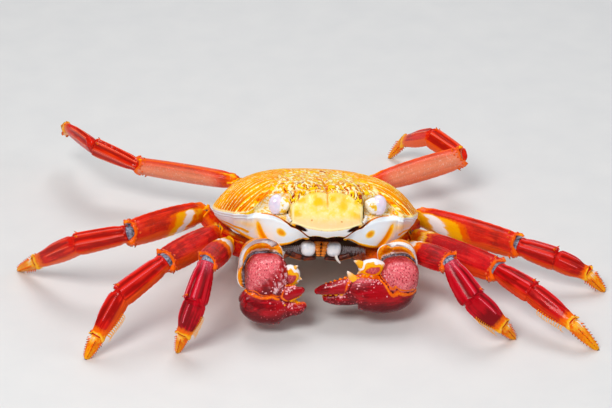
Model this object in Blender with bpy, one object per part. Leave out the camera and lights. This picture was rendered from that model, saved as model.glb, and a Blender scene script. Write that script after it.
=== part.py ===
"""Sally lightfoot crab (Grapsus grapsus), a life-size still model of a living animal.

The crab faces -Y, its left side is +X and the floor is z = 0. Sizes below are in millimetres,
measured from the floor under the middle of the shell, and are turned into metres when a mesh
is made. At the end the whole crab is moved so that the origin lies under its outline's middle.
"""
import math

import bmesh
import bpy
from mathutils import Matrix, Vector

MM = 0.001

# driving sizes of the shell
DOME_HEIGHT = 14.2
DOME_CENTRE_Y = 4.0
DOME_FULLNESS = 4.3
BELLY_LEVEL = -7.2

# how the body is held: front lifted, crab's left side a little lower
BODY_PITCH = math.radians(20.0)
BODY_ROLL = math.radians(5.0)
BODY_LIFT = 26.0

# spaces and small forms
GAP = 0.32
SOLE_SINK = 0.5
LEG_SIDES = 10
TOOTH_ROOT = 0.6
SHELL_STEPS = 3

SHELL_ORANGE = (0.90, 0.34, 0.02)
LEG_RED = (0.78, 0.06, 0.01)
CLAW_RED = (0.55, 0.01, 0.02)
PALE_WHITE = (0.86, 0.84, 0.80)
EYE_LILAC = (0.70, 0.60, 0.72)

for old in list(bpy.data.objects):
    bpy.data.objects.remove(old, do_unlink=True)


def attitude():
    """The turn and lift that take body coordinates to the standing pose."""
    roll = Matrix.Rotation(BODY_ROLL, 4, 'Y')
    pitch = Matrix.Rotation(-BODY_PITCH, 4, 'X')
    return Matrix.Translation((0.0, 0.0, BODY_LIFT)) @ pitch @ roll


BODY = attitude()


def material(name, colour, roughness):
    """One Principled material in the part's own colour."""
    made = bpy.data.materials.new(name + "_shell")
    made.use_nodes = True
    shader = made.node_tree.nodes["Principled BSDF"]
    shader.inputs["Base Color"].default_value = (*colour, 1.0)
    shader.inputs["Roughness"].default_value = roughness
    shader.inputs["Metallic"].default_value = 0.0
    return made


def make_object(name, mesh_maker, colour, roughness=0.35):
    """Turn a bmesh in millimetres into a named object in metres."""
    mesh_maker.normal_update()
    bmesh.ops.recalc_face_normals(mesh_maker, faces=mesh_maker.faces)
    bmesh.ops.scale(mesh_maker, vec=(MM, MM, MM), verts=mesh_maker.verts)
    mesh = bpy.data.meshes.new(name)
    mesh_maker.to_mesh(mesh)
    mesh_maker.free()
    mesh.shade_smooth()
    mesh.set_sharp_from_angle(angle=math.radians(38.0))
    made = bpy.data.objects.new(name, mesh)
    bpy.context.collection.objects.link(made)
    mesh.materials.append(material(name, colour, roughness))
    return made


def grid_solid(rings, first_point=None, last_point=None):
    """A closed surface through rings of points, with fans or flat ends."""
    solid = bmesh.new()
    rows = [[solid.verts.new(point) for point in ring] for ring in rings]
    count = len(rows[0])
    for row, following in zip(rows, rows[1:]):
        for i in range(count):
            j = (i + 1) % count
            solid.faces.new((row[i], row[j], following[j], following[i]))
    for row, point in ((rows[0], first_point), (rows[-1], last_point)):
        if point is None:
            solid.faces.new(row)
            continue
        tip = solid.verts.new(point)
        for i in range(count):
            solid.faces.new((row[i], row[(i + 1) % count], tip))
    return solid


def axes(direction, hint):
    """Unit vectors along a segment, towards its upper edge and across it."""
    along = direction.normalized()
    upper = (hint - hint.dot(along) * along).normalized()
    return along, upper, along.cross(upper)


def power(value, exponent):
    return math.copysign(abs(value) ** exponent, value)


def section(centre, upper, across, breadth, thickness, sides, ridge=1.2):
    """A flattened ring whose upper and lower edges are ridges."""
    ring = []
    for i in range(sides):
        angle = math.tau * i / sides
        up = 0.5 * breadth * power(math.cos(angle), 0.9)
        out = 0.5 * thickness * power(math.sin(angle), ridge)
        ring.append(centre + up * upper + out * across)
    return ring


def cut(solid, point, normal):
    """Keep the part of a solid that lies behind a plane, and close it."""
    geometry = list(solid.verts) + list(solid.edges) + list(solid.faces)
    result = bmesh.ops.bisect_plane(solid, geom=geometry, dist=1e-5, plane_co=point,
                                    plane_no=normal, clear_outer=True)
    edges = [item for item in result["geom_cut"] if isinstance(item, bmesh.types.BMEdge)]
    if edges:
        bmesh.ops.holes_fill(solid, edges=edges, sides=0)


def cut_floor(solid):
    """A small flat at floor level where a limb would reach below it."""
    cut(solid, Vector((0.0, 0.0, 0.0)), Vector((0.0, 0.0, -1.0)))


def loft(path, hint, sizes, sides, ridge=1.2):
    """A solid along a path: one ring a point, each (breadth, thickness) wide."""
    rings = []
    last = len(path) - 1
    for i, centre in enumerate(path):
        direction = path[min(i + 1, last)] - path[max(i - 1, 0)]
        _, upper, across = axes(direction, hint)
        rings.append(section(centre, upper, across, *sizes[i], sides, ridge))
    first = path[0] - 0.25 * sizes[0][1] * (path[1] - path[0]).normalized()
    final = path[-1] + 0.25 * sizes[-1][1] * (path[-1] - path[-2]).normalized()
    return grid_solid(rings, first, final)


def ellipsoid(centre, radii, turn=None, sides=14, rows=9, square=1.0):
    """A closed egg with its axis along X unless turned; square below 1 makes it blocky."""
    turn = turn or Matrix.Identity(3)
    rings = []
    for row in range(1, rows):
        slope = math.pi * row / rows
        flat = power(math.sin(slope), square)
        ring = []
        for i in range(sides):
            angle = math.tau * i / sides
            local = Vector((-power(math.cos(slope), square), flat * power(math.cos(angle), square),
                            flat * power(math.sin(angle), square)))
            local = Vector((local.x * radii[0], local.y * radii[1], local.z * radii[2]))
            ring.append(centre + turn @ local)
        rings.append(ring)
    reach = turn @ Vector((radii[0], 0.0, 0.0))
    return grid_solid(rings, centre - reach, centre + reach)


def spike(root, tip, width, sides=5):
    """A pointed tooth with its root sunk in the piece that carries it."""
    _, upper, across = axes(tip - root, Vector((0.31, 0.2, 0.93)))
    ring = []
    for i in range(sides):
        angle = math.tau * i / sides
        ring.append(root + 0.5 * width * (math.cos(angle) * upper + math.sin(angle) * across))
    return cone(ring, tip)


def edge_tooth(path, sizes, hint, tooth):
    """A tooth on a loft: its place along the path, turn, width, height and forward lean."""
    place, turn, width, height, lean = tooth
    i = min(int(place), len(path) - 2)
    share = place - i
    along, upper, across = axes(path[i + 1] - path[i], hint)
    breadth, thickness = (a + share * (b - a) for a, b in zip(sizes[i], sizes[i + 1]))
    rim = 0.5 * (breadth * math.cos(turn) * upper + thickness * math.sin(turn) * across)
    centre = path[i].lerp(path[i + 1], share)
    tip = centre + rim + height * rim.normalized() + lean * along
    return spike(centre + TOOTH_ROOT * rim, tip, width)


def cone(ring, tip):
    """A closed fan from a ring of points to its tip."""
    solid = bmesh.new()
    base = [solid.verts.new(point) for point in ring]
    point = solid.verts.new(tip)
    solid.faces.new(base)
    for i, corner in enumerate(base):
        solid.faces.new((base[(i + 1) % len(base)], corner, point))
    bmesh.ops.recalc_face_normals(solid, faces=solid.faces)
    return solid


def largest_surface(solid):
    """Drop every loose surface but the one with most faces."""
    left = set(solid.faces)
    groups = []
    while left:
        start = left.pop()
        group = {start}
        edge_of = [start]
        while edge_of:
            for edge in edge_of.pop().edges:
                for face in edge.link_faces:
                    if face in left:
                        left.discard(face)
                        group.add(face)
                        edge_of.append(face)
        groups.append(group)
    groups.sort(key=len)
    doomed = [face for group in groups[:-1] for face in group]
    bmesh.ops.delete(solid, geom=doomed, context='FACES')


def union(solids):
    """Join closed solids into one by a single Boolean on a collection."""
    helpers = bpy.data.collections.new("joining")
    bpy.context.scene.collection.children.link(helpers)
    made = []
    for solid in solids:
        bmesh.ops.recalc_face_normals(solid, faces=solid.faces)
        mesh = bpy.data.meshes.new("joining")
        solid.to_mesh(mesh)
        solid.free()
        made.append(bpy.data.objects.new("joining", mesh))
    base = made[0]
    bpy.context.scene.collection.objects.link(base)
    for extra in made[1:]:
        helpers.objects.link(extra)
    join = base.modifiers.new("join", 'BOOLEAN')
    join.operation = 'UNION'
    join.operand_type = 'COLLECTION'
    join.collection = helpers
    join.solver = 'EXACT'
    graph = bpy.context.evaluated_depsgraph_get()
    joined = bmesh.new()
    joined.from_object(base, graph)
    for item in made:
        bpy.data.objects.remove(item, do_unlink=True)
    bpy.data.collections.remove(helpers)
    largest_surface(joined)
    return joined


# The shell's outline, front middle to rear middle on the crab's left side. Each station
# gives the margin, the mid height of the face below it, the brim and the lower border.
SHELL_STATIONS = (
    ((0.0, -33.0, 11.2), (0.0, -35.6, 4.2), (0.0, -38.0, -3.0), (0.0, -33.6, -7.6)),
    ((7.0, -32.8, 11.0), (7.0, -35.5, 4.2), (7.0, -37.2, -2.2), (6.5, -33.2, -7.4)),
    ((12.6, -32.2, 10.8), (13.4, -34.6, 4.2), (12.3, -35.9, -0.6), (9.0, -33.0, -6.8)),
    ((14.8, -30.0, 10.6), (14.6, -28.0, 5.0), (14.4, -34.2, -1.2), (13.5, -32.4, -8.8)),
    ((20.5, -27.5, 9.6), (20.5, -25.8, 4.2), (20.0, -32.6, 0.8), (20.0, -30.0, -10.4)),
    ((25.6, -28.4, 6.0), (25.6, -27.2, 3.4), (26.4, -31.0, 1.2), (26.0, -26.5, -9.6)),
    ((29.0, -30.0, 3.0), (29.2, -30.0, 1.8), (29.0, -29.4, 0.8), (29.0, -23.5, -8.2)),
    ((33.8, -24.2, 1.6), (34.0, -24.2, 0.9), (33.6, -23.6, 0.2), (33.0, -17.0, -6.2)),
    ((38.0, -13.0, 0.6), (38.2, -13.0, 0.0), (37.8, -12.8, -0.7), (36.6, -8.0, -4.6)),
    ((40.0, -2.0, 0.2), (40.1, -2.0, -0.4), (39.8, -2.0, -1.0), (38.0, 2.0, -3.6)),
    ((38.6, 10.0, 0.3), (38.7, 10.0, -0.3), (38.4, 10.0, -1.0), (35.6, 12.0, -3.8)),
    ((34.0, 22.0, 0.8), (34.1, 22.0, 0.2), (33.7, 21.8, -0.5), (31.6, 21.0, -4.0)),
    ((26.0, 33.0, 1.4), (26.1, 33.1, 0.8), (25.8, 32.7, 0.1), (24.0, 30.6, -1.8)),
    ((17.0, 38.8, 1.8), (17.0, 39.0, 1.2), (16.8, 38.5, 0.6), (16.0, 36.6, -0.9)),
    ((0.0, 40.4, 2.0), (0.0, 40.6, 1.4), (0.0, 40.1, 0.8), (0.0, 38.4, -0.6)),
)
TOOTH_STATIONS = (6, 7)
TOOTH_REACH = 1.6
DOME_ROWS = (0.2, 0.4, 0.58, 0.73, 0.85, 0.94)
FRONT_LOBE = 7.0
BELLY_SHRINK = 0.72
BELLY_CENTRE = (0.0, 2.0)


def smooth_between(points, i, t):
    """A Catmull-Rom value between stations i and i + 1."""
    last = len(points) - 1
    a, b = points[max(i - 1, 0)], points[i]
    c, d = points[min(i + 1, last)], points[min(i + 2, last)]
    out = []
    for k in range(3):
        bend = 2 * a[k] - 5 * b[k] + 4 * c[k] - d[k]
        twist = 3 * (b[k] - c[k]) + d[k] - a[k]
        out.append(0.5 * (2 * b[k] + (c[k] - a[k]) * t + bend * t * t + twist * t ** 3))
    return Vector(out)


def mirrored_stations():
    """The half outline with one more station past the middle at each end."""
    flipped = []
    for station in (SHELL_STATIONS[1], SHELL_STATIONS[-2]):
        flipped.append(tuple((-x, y, z) for x, y, z in station))
    return [flipped[0], *SHELL_STATIONS, flipped[1]]


def shell_column(place):
    """Margin, face, brim and lower border at a place along the half outline."""
    stations = mirrored_stations()
    i = min(int(place), len(SHELL_STATIONS) - 2)
    rows = [smooth_between([s[k] for s in stations], i + 1, place - i) for k in range(4)]
    margin = rows[0]
    if margin.x < 2 * FRONT_LOBE and margin.y < 0.0:
        lobe = abs(math.sin(math.pi * margin.x / FRONT_LOBE))
        margin += Vector((0.0, -0.7 * lobe, 0.8 * lobe))
    for station in TOOTH_STATIONS:
        reach = TOOTH_REACH * max(0.0, 1.0 - abs(place - station) / 0.45)
        for row in rows[:3]:
            row += reach * Vector((0.5, -0.86, 0.0))
    return rows


def shell_height(margin, share):
    """A point of the shell's back, at a share of the way to the margin."""
    centre = Vector((0.0, DOME_CENTRE_Y, DOME_HEIGHT))
    point = centre.lerp(margin, share)
    point.z = margin.z + (DOME_HEIGHT - margin.z) * (1.0 - share ** DOME_FULLNESS)
    return point


def shell_columns(steps):
    """Columns round the whole shell, the crab's left half and then its right."""
    count = (len(SHELL_STATIONS) - 1) * steps
    half = [shell_column(i / steps) for i in range(count + 1)]
    other = [[Vector((-p.x, p.y, p.z)) for p in column] for column in half[-2:0:-1]]
    return half + other


def belly(point):
    """A lower border point moved in to the flat under the shell."""
    centre = Vector((*BELLY_CENTRE, BELLY_LEVEL))
    flat = Vector((point.x, point.y, BELLY_LEVEL))
    return centre.lerp(flat, BELLY_SHRINK)


def make_shell():
    """The carapace with its front plate, eye sockets and white lower plates."""
    columns = shell_columns(SHELL_STEPS)
    rings = [[shell_height(c[0], share) for c in columns] for share in DOME_ROWS]
    for k in range(4):
        rings.append([c[k] for c in columns])
    rings.append([belly(c[3]) for c in columns])
    top = Vector((0.0, DOME_CENTRE_Y, DOME_HEIGHT))
    bottom = Vector((*BELLY_CENTRE, BELLY_LEVEL))
    rings = [[BODY @ point for point in ring] for ring in rings]
    solid = grid_solid(rings, BODY @ top, BODY @ bottom)
    make_object("carapace", solid, SHELL_ORANGE, 0.3)


def mitre(solid, joint, before, after, keep_before, breadth):
    """Part a bent joint on its halving plane and blunt the outer corner."""
    halving = (before + after).normalized()
    if keep_before:
        cut(solid, joint - 0.5 * GAP * halving, halving)
    else:
        cut(solid, joint + 0.5 * GAP * halving, -halving)
    corner = before - after
    if corner.length > 0.3:
        corner.normalize()
        cut(solid, joint + 0.62 * breadth * corner, corner)


# The chest under the shell, front middle to rear middle on one side.
CHEST_OUTLINE = ((0.0, -25.0), (8.0, -24.4), (13.0, -20.0), (16.0, -13.0), (20.0, -5.0),
                 (23.0, 4.0), (21.5, 13.0), (15.5, 21.5), (9.0, 25.0), (0.0, 25.8))
CHEST_ROWS = ((0.0, 1.0), (3.6, 1.0), (6.4, 0.9), (8.6, 0.66))
CHEST_RISE = 0.14
FLAP_DEPTH = 1.4
FLAP_WIDTHS = (12.0, 13.0, 13.0, 12.5, 11.0, 9.0, 7.0, 4.0)

# The two inner joints of each limb, in body coordinates of the crab's left side: where its
# hip piece leaves the chest, and where its long thigh begins.
LEG_ROOTS = (((26.5, -13.0, -15.5), (35.5, -16.0, -12.0)),
             ((28.0, -3.0, -14.5), (39.0, -4.0, -9.5)),
             ((31.5, 9.5, -14.8), (43.5, 10.0, -3.0)),
             ((24.0, 37.0, -7.4), (27.8, 39.6, 5.8)))
CLAW_ROOT = ((18.5, -20.0, -14.4), (21.5, -24.0, -14.4))
STUB_SIZE = (7.0, 7.0)
STUB_INNER_SIZE = (3.8, 4.8)
STUB_INNER_LEVEL = -12.6
STUB_INNER_RISE = 0.05


def chest_point(x, y, drop, share):
    """A point of the chest, lower in front than behind."""
    level = BELLY_LEVEL - GAP / math.cos(BODY_PITCH) - drop
    rise = CHEST_RISE * max(0.0, y + 5.0) * drop / CHEST_ROWS[-1][0]
    return Vector((x * share, 2.0 + (y - 2.0) * share, level + rise))


def stub_points(side, root):
    """The inner end of a limb's first piece, its outer joint and the one after."""
    joint, start = (Vector((side * x, y, z)) for x, y, z in root)
    level = STUB_INNER_LEVEL + STUB_INNER_RISE * max(0.0, joint.y)
    inner = Vector((0.35 * joint.x, 0.6 * joint.y, level))
    return BODY @ inner, BODY @ joint, BODY @ start


def limb_stub(side, root):
    """A limb's first piece, which is one with the chest."""
    inner, joint, start = stub_points(side, root)
    before = (joint - inner).normalized()
    solid = loft([inner, joint + STUB_SIZE[0] * before], BODY.to_3x3() @ Vector((0, 0, 1)),
                 [STUB_INNER_SIZE, STUB_SIZE], LEG_SIDES)
    mitre(solid, joint, before, (start - joint).normalized(), True, STUB_SIZE[0])
    return solid


def make_chest():
    """The chest plate with the ten limb stubs."""
    half = [Vector((x, y, 0.0)) for x, y in CHEST_OUTLINE]
    outline = half + [Vector((-p.x, p.y, 0.0)) for p in half[-2:0:-1]]
    rings = [[BODY @ chest_point(p.x, p.y, drop, share) for p in outline]
             for drop, share in CHEST_ROWS]
    pieces = [grid_solid(rings)]
    for side in (1, -1):
        for root in (CLAW_ROOT, *LEG_ROOTS):
            pieces.append(limb_stub(side, root))
    make_object("chest", union(pieces), PALE_WHITE)


def make_abdomen():
    """The narrow tail flap, folded forward under the chest."""
    rear = CHEST_OUTLINE[-1][1]
    path = [chest_point(0.0, rear, *CHEST_ROWS[1]) + Vector((0.0, 1.5, 0.0)),
            chest_point(0.0, rear, *CHEST_ROWS[2]) + Vector((0.0, 1.1, -1.0))]
    for share in (0.94, 0.78, 0.6, 0.4, 0.2, 0.02):
        point = chest_point(0.0, share * rear, *CHEST_ROWS[3])
        path.append(point + Vector((0.0, 0.4, -FLAP_DEPTH)))
    points = [BODY @ point for point in path]
    sizes = [(width, 1.6) for width in FLAP_WIDTHS]
    across = BODY.to_3x3() @ Vector((1.0, 0.0, 0.0))
    make_object("abdomen", loft(points, across, sizes, 8, 0.7), PALE_WHITE)


EYE_CENTRE = (20.0, -30.4, 6.8)
EYE_RADII = (2.9, 2.5, 3.7)
STALK_START = (15.3, -31.2, 5.4)
EYE_SEAM_X = 18.1


def make_eye(side, name):
    """A short stalk and the oval eye at its outer end."""
    turn = BODY.to_3x3()
    seam = Vector((side * EYE_SEAM_X, EYE_CENTRE[1], EYE_CENTRE[2]))
    outwards = turn @ Vector((side, 0.0, 0.0))
    start = Vector((side * STALK_START[0], *STALK_START[1:]))
    path = [BODY @ start, BODY @ start.lerp(seam, 0.5), BODY @ (seam + Vector((side, 0, 0)))]
    stalk = loft(path, turn @ Vector((0, 0, 1)), [(3.0, 3.0), (5.0, 4.0), (5.4, 4.4)], 12, 1.0)
    cut(stalk, BODY @ seam - 0.5 * GAP * outwards, outwards)
    make_object("eyestalk_" + name, stalk, SHELL_ORANGE)
    centre = BODY @ Vector((side * EYE_CENTRE[0], *EYE_CENTRE[1:]))
    eye = ellipsoid(centre, EYE_RADII, turn)
    cut(eye, BODY @ seam + 0.5 * GAP * outwards, -outwards)
    make_object("eye_" + name, eye, EYE_LILAC, 0.15)


# The mouth sits a little towards the crab's right, as seen in the photo.
MOUTH_MIDDLE = -1.0
JAW_CENTRE = (4.9, -27.6, -11.0)
JAW_RADII = (2.8, 2.2, 3.0)
MOUTH_PLATE_PATH = ((16.5, -26.6, -11.6), (13.2, -27.6, -12.4), (9.6, -27.0, -14.0),
                    (5.6, -26.6, -14.9), (1.6, -26.6, -14.8))
MOUTH_PLATE_SIZES = ((1.8, 1.6), (3.4, 2.2), (3.4, 2.2), (2.6, 2.2), (1.8, 1.8))


def make_mouth(side, name):
    """The white jaw tooth and the folded outer mouth plate of one side."""
    turn = BODY.to_3x3()

    def place(x, y, z):
        return BODY @ Vector((MOUTH_MIDDLE + side * x, y, z))

    jaw = ellipsoid(place(*JAW_CENTRE), JAW_RADII, turn, 12, 8)
    make_object("jaw_" + name, jaw, PALE_WHITE, 0.3)
    path = [place(*point) for point in MOUTH_PLATE_PATH]
    plate = loft(path, turn @ Vector((0, 0, 1)), MOUTH_PLATE_SIZES, 8, 1.0)
    make_object("mouth_plate_" + name, plate, SHELL_ORANGE)


# How each walking leg is held, in world millimetres: the way its upper edge faces, then its
# knee, wrist, ankle and the tip of its toe. The right rear leg is raised.
LEG_POSES = {
    "left_1": ((0.6, 0.3, 0.7), (43.1, -54.0, 29.0), (50.2, -64.8, 19.0), (61.9, -66.1, 7.0),
               (67.1, -64.3, 0.0)),
    "left_2": ((0.6, 0.3, 0.7), (64.2, -43.5, 18.0), (74.2, -58.5, 16.5), (86.9, -73.0, 10.0),
               (96.2, -76.5, 0.0)),
    "left_3": ((0.3, 0.0, 0.9), (76.8, -22.0, 16.0), (90.0, -30.0, 13.5), (102.0, -33.0, 8.0),
               (109.0, -34.0, 0.0)),
    "left_4": ((0.5, 0.2, 0.8), (67.6, 47.0, 21.0), (57.5, 63.0, 23.0), (50.2, 85.5, 10.5),
               (44.8, 91.1, 0.0)),
    "right_1": ((-0.6, 0.3, 0.7), (-47.4, -49.8, 34.0), (-52.9, -59.6, 23.0), (-57.5, -58.0, 8.5),
                (-60.0, -56.5, 0.0)),
    "right_2": ((-0.6, 0.3, 0.7), (-62.2, -40.3, 30.0), (-80.0, -50.0, 22.0), (-89.3, -54.3, 8.0),
                (-94.0, -56.5, 0.0)),
    "right_3": ((-0.3, 0.0, 0.9), (-74.2, -16.6, 30.0), (-94.0, -11.6, 24.0), (-109.0, 5.0, 8.5),
                (-116.4, 14.9, 0.0)),
    "right_4": ((-0.3, -0.3, 0.9), (-64.4, 59.3, 20.0), (-82.0, 67.2, 26.0), (-91.8, 92.5, 23.0),
                (-92.4, 103.0, 15.0)),
}


# Breadth and thickness along each piece, as (share of length, breadth, thickness).
HIP_FORM = ((0.0, 7.4, 7.0), (0.5, 7.4, 7.0), (1.0, 7.8, 6.4))
THIGH_FORM = ((0.0, 8.0, 6.2), (0.14, 9.2, 6.6), (0.4, 10.6, 6.4), (0.7, 10.8, 6.0),
              (0.93, 10.0, 5.8), (1.0, 8.8, 5.6))
WRIST_FORM = ((0.0, 6.8, 5.0), (0.25, 8.0, 5.6), (0.6, 8.8, 5.6), (0.9, 9.2, 5.4), (1.0, 8.6, 5.2))
SHIN_FORM = ((0.0, 7.4, 4.6), (0.15, 8.4, 5.0), (0.45, 8.2, 4.8), (0.85, 6.6, 4.2), (1.0, 5.8, 4.0))
TOE_FORM = ((0.0, 5.0, 3.8), (0.12, 5.4, 3.9), (0.24, 4.4, 3.4), (0.36, 4.9, 3.5), (0.48, 3.9, 3.0),
            (0.6, 4.2, 3.0), (0.72, 3.0, 2.4), (0.84, 2.7, 2.0), (1.0, 1.5, 1.3))
LEG_SCALES = (0.84, 0.96, 1.0, 0.92)
END_OVERRUN = 0.75

# Teeth on each piece: place along the form above, turn from its upper edge, width, height and
# forward lean. The thigh, knee and shin end in teeth and the toe carries rows of short spines.
THIGH_TEETH = ((4.0, 0.3, 1.6, 1.0, 1.2), (4.3, 2.7, 1.8, 1.4, 1.4), (4.3, -2.7, 1.8, 1.4, 1.4))
KNEE_TEETH = ((3.2, 0.5, 1.4, 0.9, 1.0), (3.2, -0.5, 1.4, 0.9, 1.0))
SHIN_TEETH = ((3.3, 0.6, 1.2, 0.8, 1.2), (3.3, -0.6, 1.2, 0.8, 1.2))
TOE_TEETH = tuple((place, turn, 0.9, 1.0, 1.1) for place in (1.4, 3.4, 5.4)
                  for turn in (0.5, -0.5, 2.6, -2.6))


def limb_piece(start, end, hint, form, teeth, scale):
    """A straight piece lofted past both of its joints, with its teeth."""
    direction = end - start
    along = direction.normalized()
    path = [start + share * direction for share, _, _ in form]
    sizes = [(scale * breadth, scale * thickness) for _, breadth, thickness in form]
    spikes = [edge_tooth(path, sizes, hint, tooth) for tooth in teeth]
    path[0] = path[0] - END_OVERRUN * sizes[0][0] * along
    path[-1] = path[-1] + END_OVERRUN * sizes[-1][0] * along
    shaft = loft(path, hint, sizes, LEG_SIDES)
    return union([shaft, *spikes]) if spikes else shaft


def make_leg(name, side, root, pose, scale):
    """One walking leg in five pieces, from hip to toe."""
    hint, *joints = (Vector(place) for place in pose)
    if joints[-1].z == 0.0:
        joints[-1].z -= SOLE_SINK
    points = [*stub_points(side, root), *joints]
    turns = [(b - a).normalized() for a, b in zip(points, points[1:])]
    forms = (("hip", HIP_FORM, ()), ("thigh", THIGH_FORM, THIGH_TEETH),
             ("knee", WRIST_FORM, KNEE_TEETH), ("shin", SHIN_FORM, SHIN_TEETH),
             ("toe", TOE_FORM, TOE_TEETH))
    for i, (part, form, teeth) in enumerate(forms, start=1):
        piece = limb_piece(points[i], points[i + 1], hint, form, teeth, scale)
        mitre(piece, points[i], turns[i - 1], turns[i], False, scale * form[0][1])
        if part == "toe":
            cut_floor(piece)
        else:
            mitre(piece, points[i + 1], turns[i], turns[i + 1], True, scale * form[-1][1])
        make_object("leg_" + name + "_" + part, piece, LEG_RED)


def make_legs():
    for side, side_name in ((1, "left"), (-1, "right")):
        for i, root in enumerate(LEG_ROOTS):
            name = side_name + "_" + str(i + 1)
            make_leg(name, side, root, LEG_POSES[name], LEG_SCALES[i])


# How each claw is held, in world millimetres. The palm's path ends in its fixed finger; a
# spike is a root, a tip and a width.
CLAW_POSES = {
    "left": {
        "arm": ((25.2, -31.4, 17.8), (27.4, -35.4, 22.0), (26.5, -39.6, 22.2)),
        "arm_spike": ((31.0, -37.0, 16.5), (33.6, -40.4, 13.0), 3.4),
        "wrist": (26.0, -42.6, 18.6),
        "wrist_radii": (7.6, 7.2, 6.8),
        "lobe": (15.8, -42.4, 22.6),
        "lobe_radii": (5.0, 3.4, 3.4),
        "lobe_spikes": (((12.5, -42.4, 23.2), (8.8, -42.0, 25.8), 3.6),
                        ((13.5, -42.8, 21.6), (10.0, -43.0, 20.6), 3.0)),
        "palm": ((30.0, -43.4, 13.6), (26.5, -45.0, 12.4), (20.8, -46.0, 12.4), (14.5, -46.0, 13.4),
                 (9.6, -45.2, 14.2), (5.4, -44.6, 11.8), (1.6, -44.0, 11.2), (-2.0, -43.6, 11.4)),
        "palm_spike": ((9.4, -45.0, 17.6), (6.4, -44.4, 22.4), 4.2),
        "finger": ((9.0, -45.0, 17.4), (5.6, -45.0, 17.0), (1.2, -44.8, 16.4), (-2.6, -44.4, 15.8),
                   (-5.4, -44.0, 15.0)),
    },
    "right": {
        "arm": ((-24.8, -32.4, 19.6), (-26.6, -35.2, 25.0), (-26.2, -38.6, 26.0)),
        "arm_spike": ((-31.8, -36.0, 22.0), (-35.2, -39.0, 19.6), 3.4),
        "wrist": (-24.4, -41.8, 22.1),
        "wrist_radii": (8.2, 7.6, 8.2),
        "lobe": (-15.8, -43.0, 21.8),
        "lobe_radii": (4.0, 3.4, 4.4),
        "lobe_spikes": (((-15.2, -43.2, 23.0), (-12.6, -43.6, 26.4), 3.0),
                        ((-14.6, -43.4, 21.0), (-11.0, -44.0, 20.4), 3.0)),
        "palm": ((-32.0, -42.8, 14.2), (-30.4, -44.2, 12.8), (-27.4, -45.2, 11.6), (-23.6, -46.0, 11.0),
                 (-19.4, -46.8, 11.0), (-16.0, -47.8, 10.6), (-13.4, -48.6, 10.8), (-11.4, -49.2, 12.0)),
        "palm_spike": ((-18.8, -46.2, 14.0), (-18.0, -46.8, 17.6), 3.4),
        "finger": ((-20.0, -47.0, 15.6), (-17.8, -47.8, 17.0), (-15.4, -48.3, 17.8),
                   (-13.6, -48.7, 18.2), (-11.8, -49.0, 18.8)),
    },
}
PALM_SIZES = ((7.6, 6.0), (12.0, 8.8), (14.0, 10.4), (14.0, 10.4), (12.4, 9.2), (6.4, 5.8), (5.0, 4.8),
              (2.8, 3.2))
FINGER_SIZES = ((5.4, 4.6), (6.0, 5.0), (5.2, 4.6), (4.2, 4.0), (2.4, 2.8))
ARM_SIZES = ((7.0, 7.0), (7.4, 7.4), (9.4, 8.8), (15.0, 12.6), (16.4, 14.6))
ARM_GROWTH = {"left": 0.96, "right": 1.08}
PALM_TEETH = ((5.1, 0.1, 2.8, 1.0, 0.2), (5.8, 0.1, 2.4, 0.9, 0.2), (6.5, 0.1, 1.8, 0.8, 0.1))
FINGER_TEETH = ((1.4, 3.0, 2.6, 0.9, 0.2), (2.3, 3.0, 2.2, 0.8, 0.2), (3.2, 3.0, 1.6, 0.7, 0.1))
CLAW_SIDES = 14
WRIST_SQUARENESS = 0.78


def subtract(solid, cutter):
    """Cut a solid by its neighbour's grown shape."""
    bmesh.ops.recalc_face_normals(solid, faces=solid.faces)
    bmesh.ops.recalc_face_normals(cutter, faces=cutter.faces)
    made = []
    for item in (solid, cutter):
        mesh = bpy.data.meshes.new("cutting")
        item.to_mesh(mesh)
        item.free()
        made.append(bpy.data.objects.new("cutting", mesh))
        bpy.context.scene.collection.objects.link(made[-1])
    carve = made[0].modifiers.new("cut", 'BOOLEAN')
    carve.operation = 'DIFFERENCE'
    carve.object = made[1]
    carve.solver = 'EXACT'
    graph = bpy.context.evaluated_depsgraph_get()
    result = bmesh.new()
    result.from_object(made[0], graph)
    for item in made:
        bpy.data.objects.remove(item, do_unlink=True)
    largest_surface(result)
    return result


def grown(sizes, extra):
    return [(a + extra, b + extra) for a, b in sizes]


def placed_spike(place, extra=0.0):
    """A spike given as root, tip and width, made wider all round by an extra."""
    root, tip, width = place
    root, tip = Vector(root), Vector(tip)
    return spike(root, tip + extra * (tip - root).normalized(), width + extra, 6)


def toothed_loft(points, hint, sizes, sides, teeth):
    """A loft and its row of teeth as separate closed solids."""
    path = [Vector(point) for point in points]
    spikes = [edge_tooth(path, sizes, hint, tooth) for tooth in teeth]
    return [loft(path, hint, sizes, sides, 1.0), *spikes]


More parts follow.
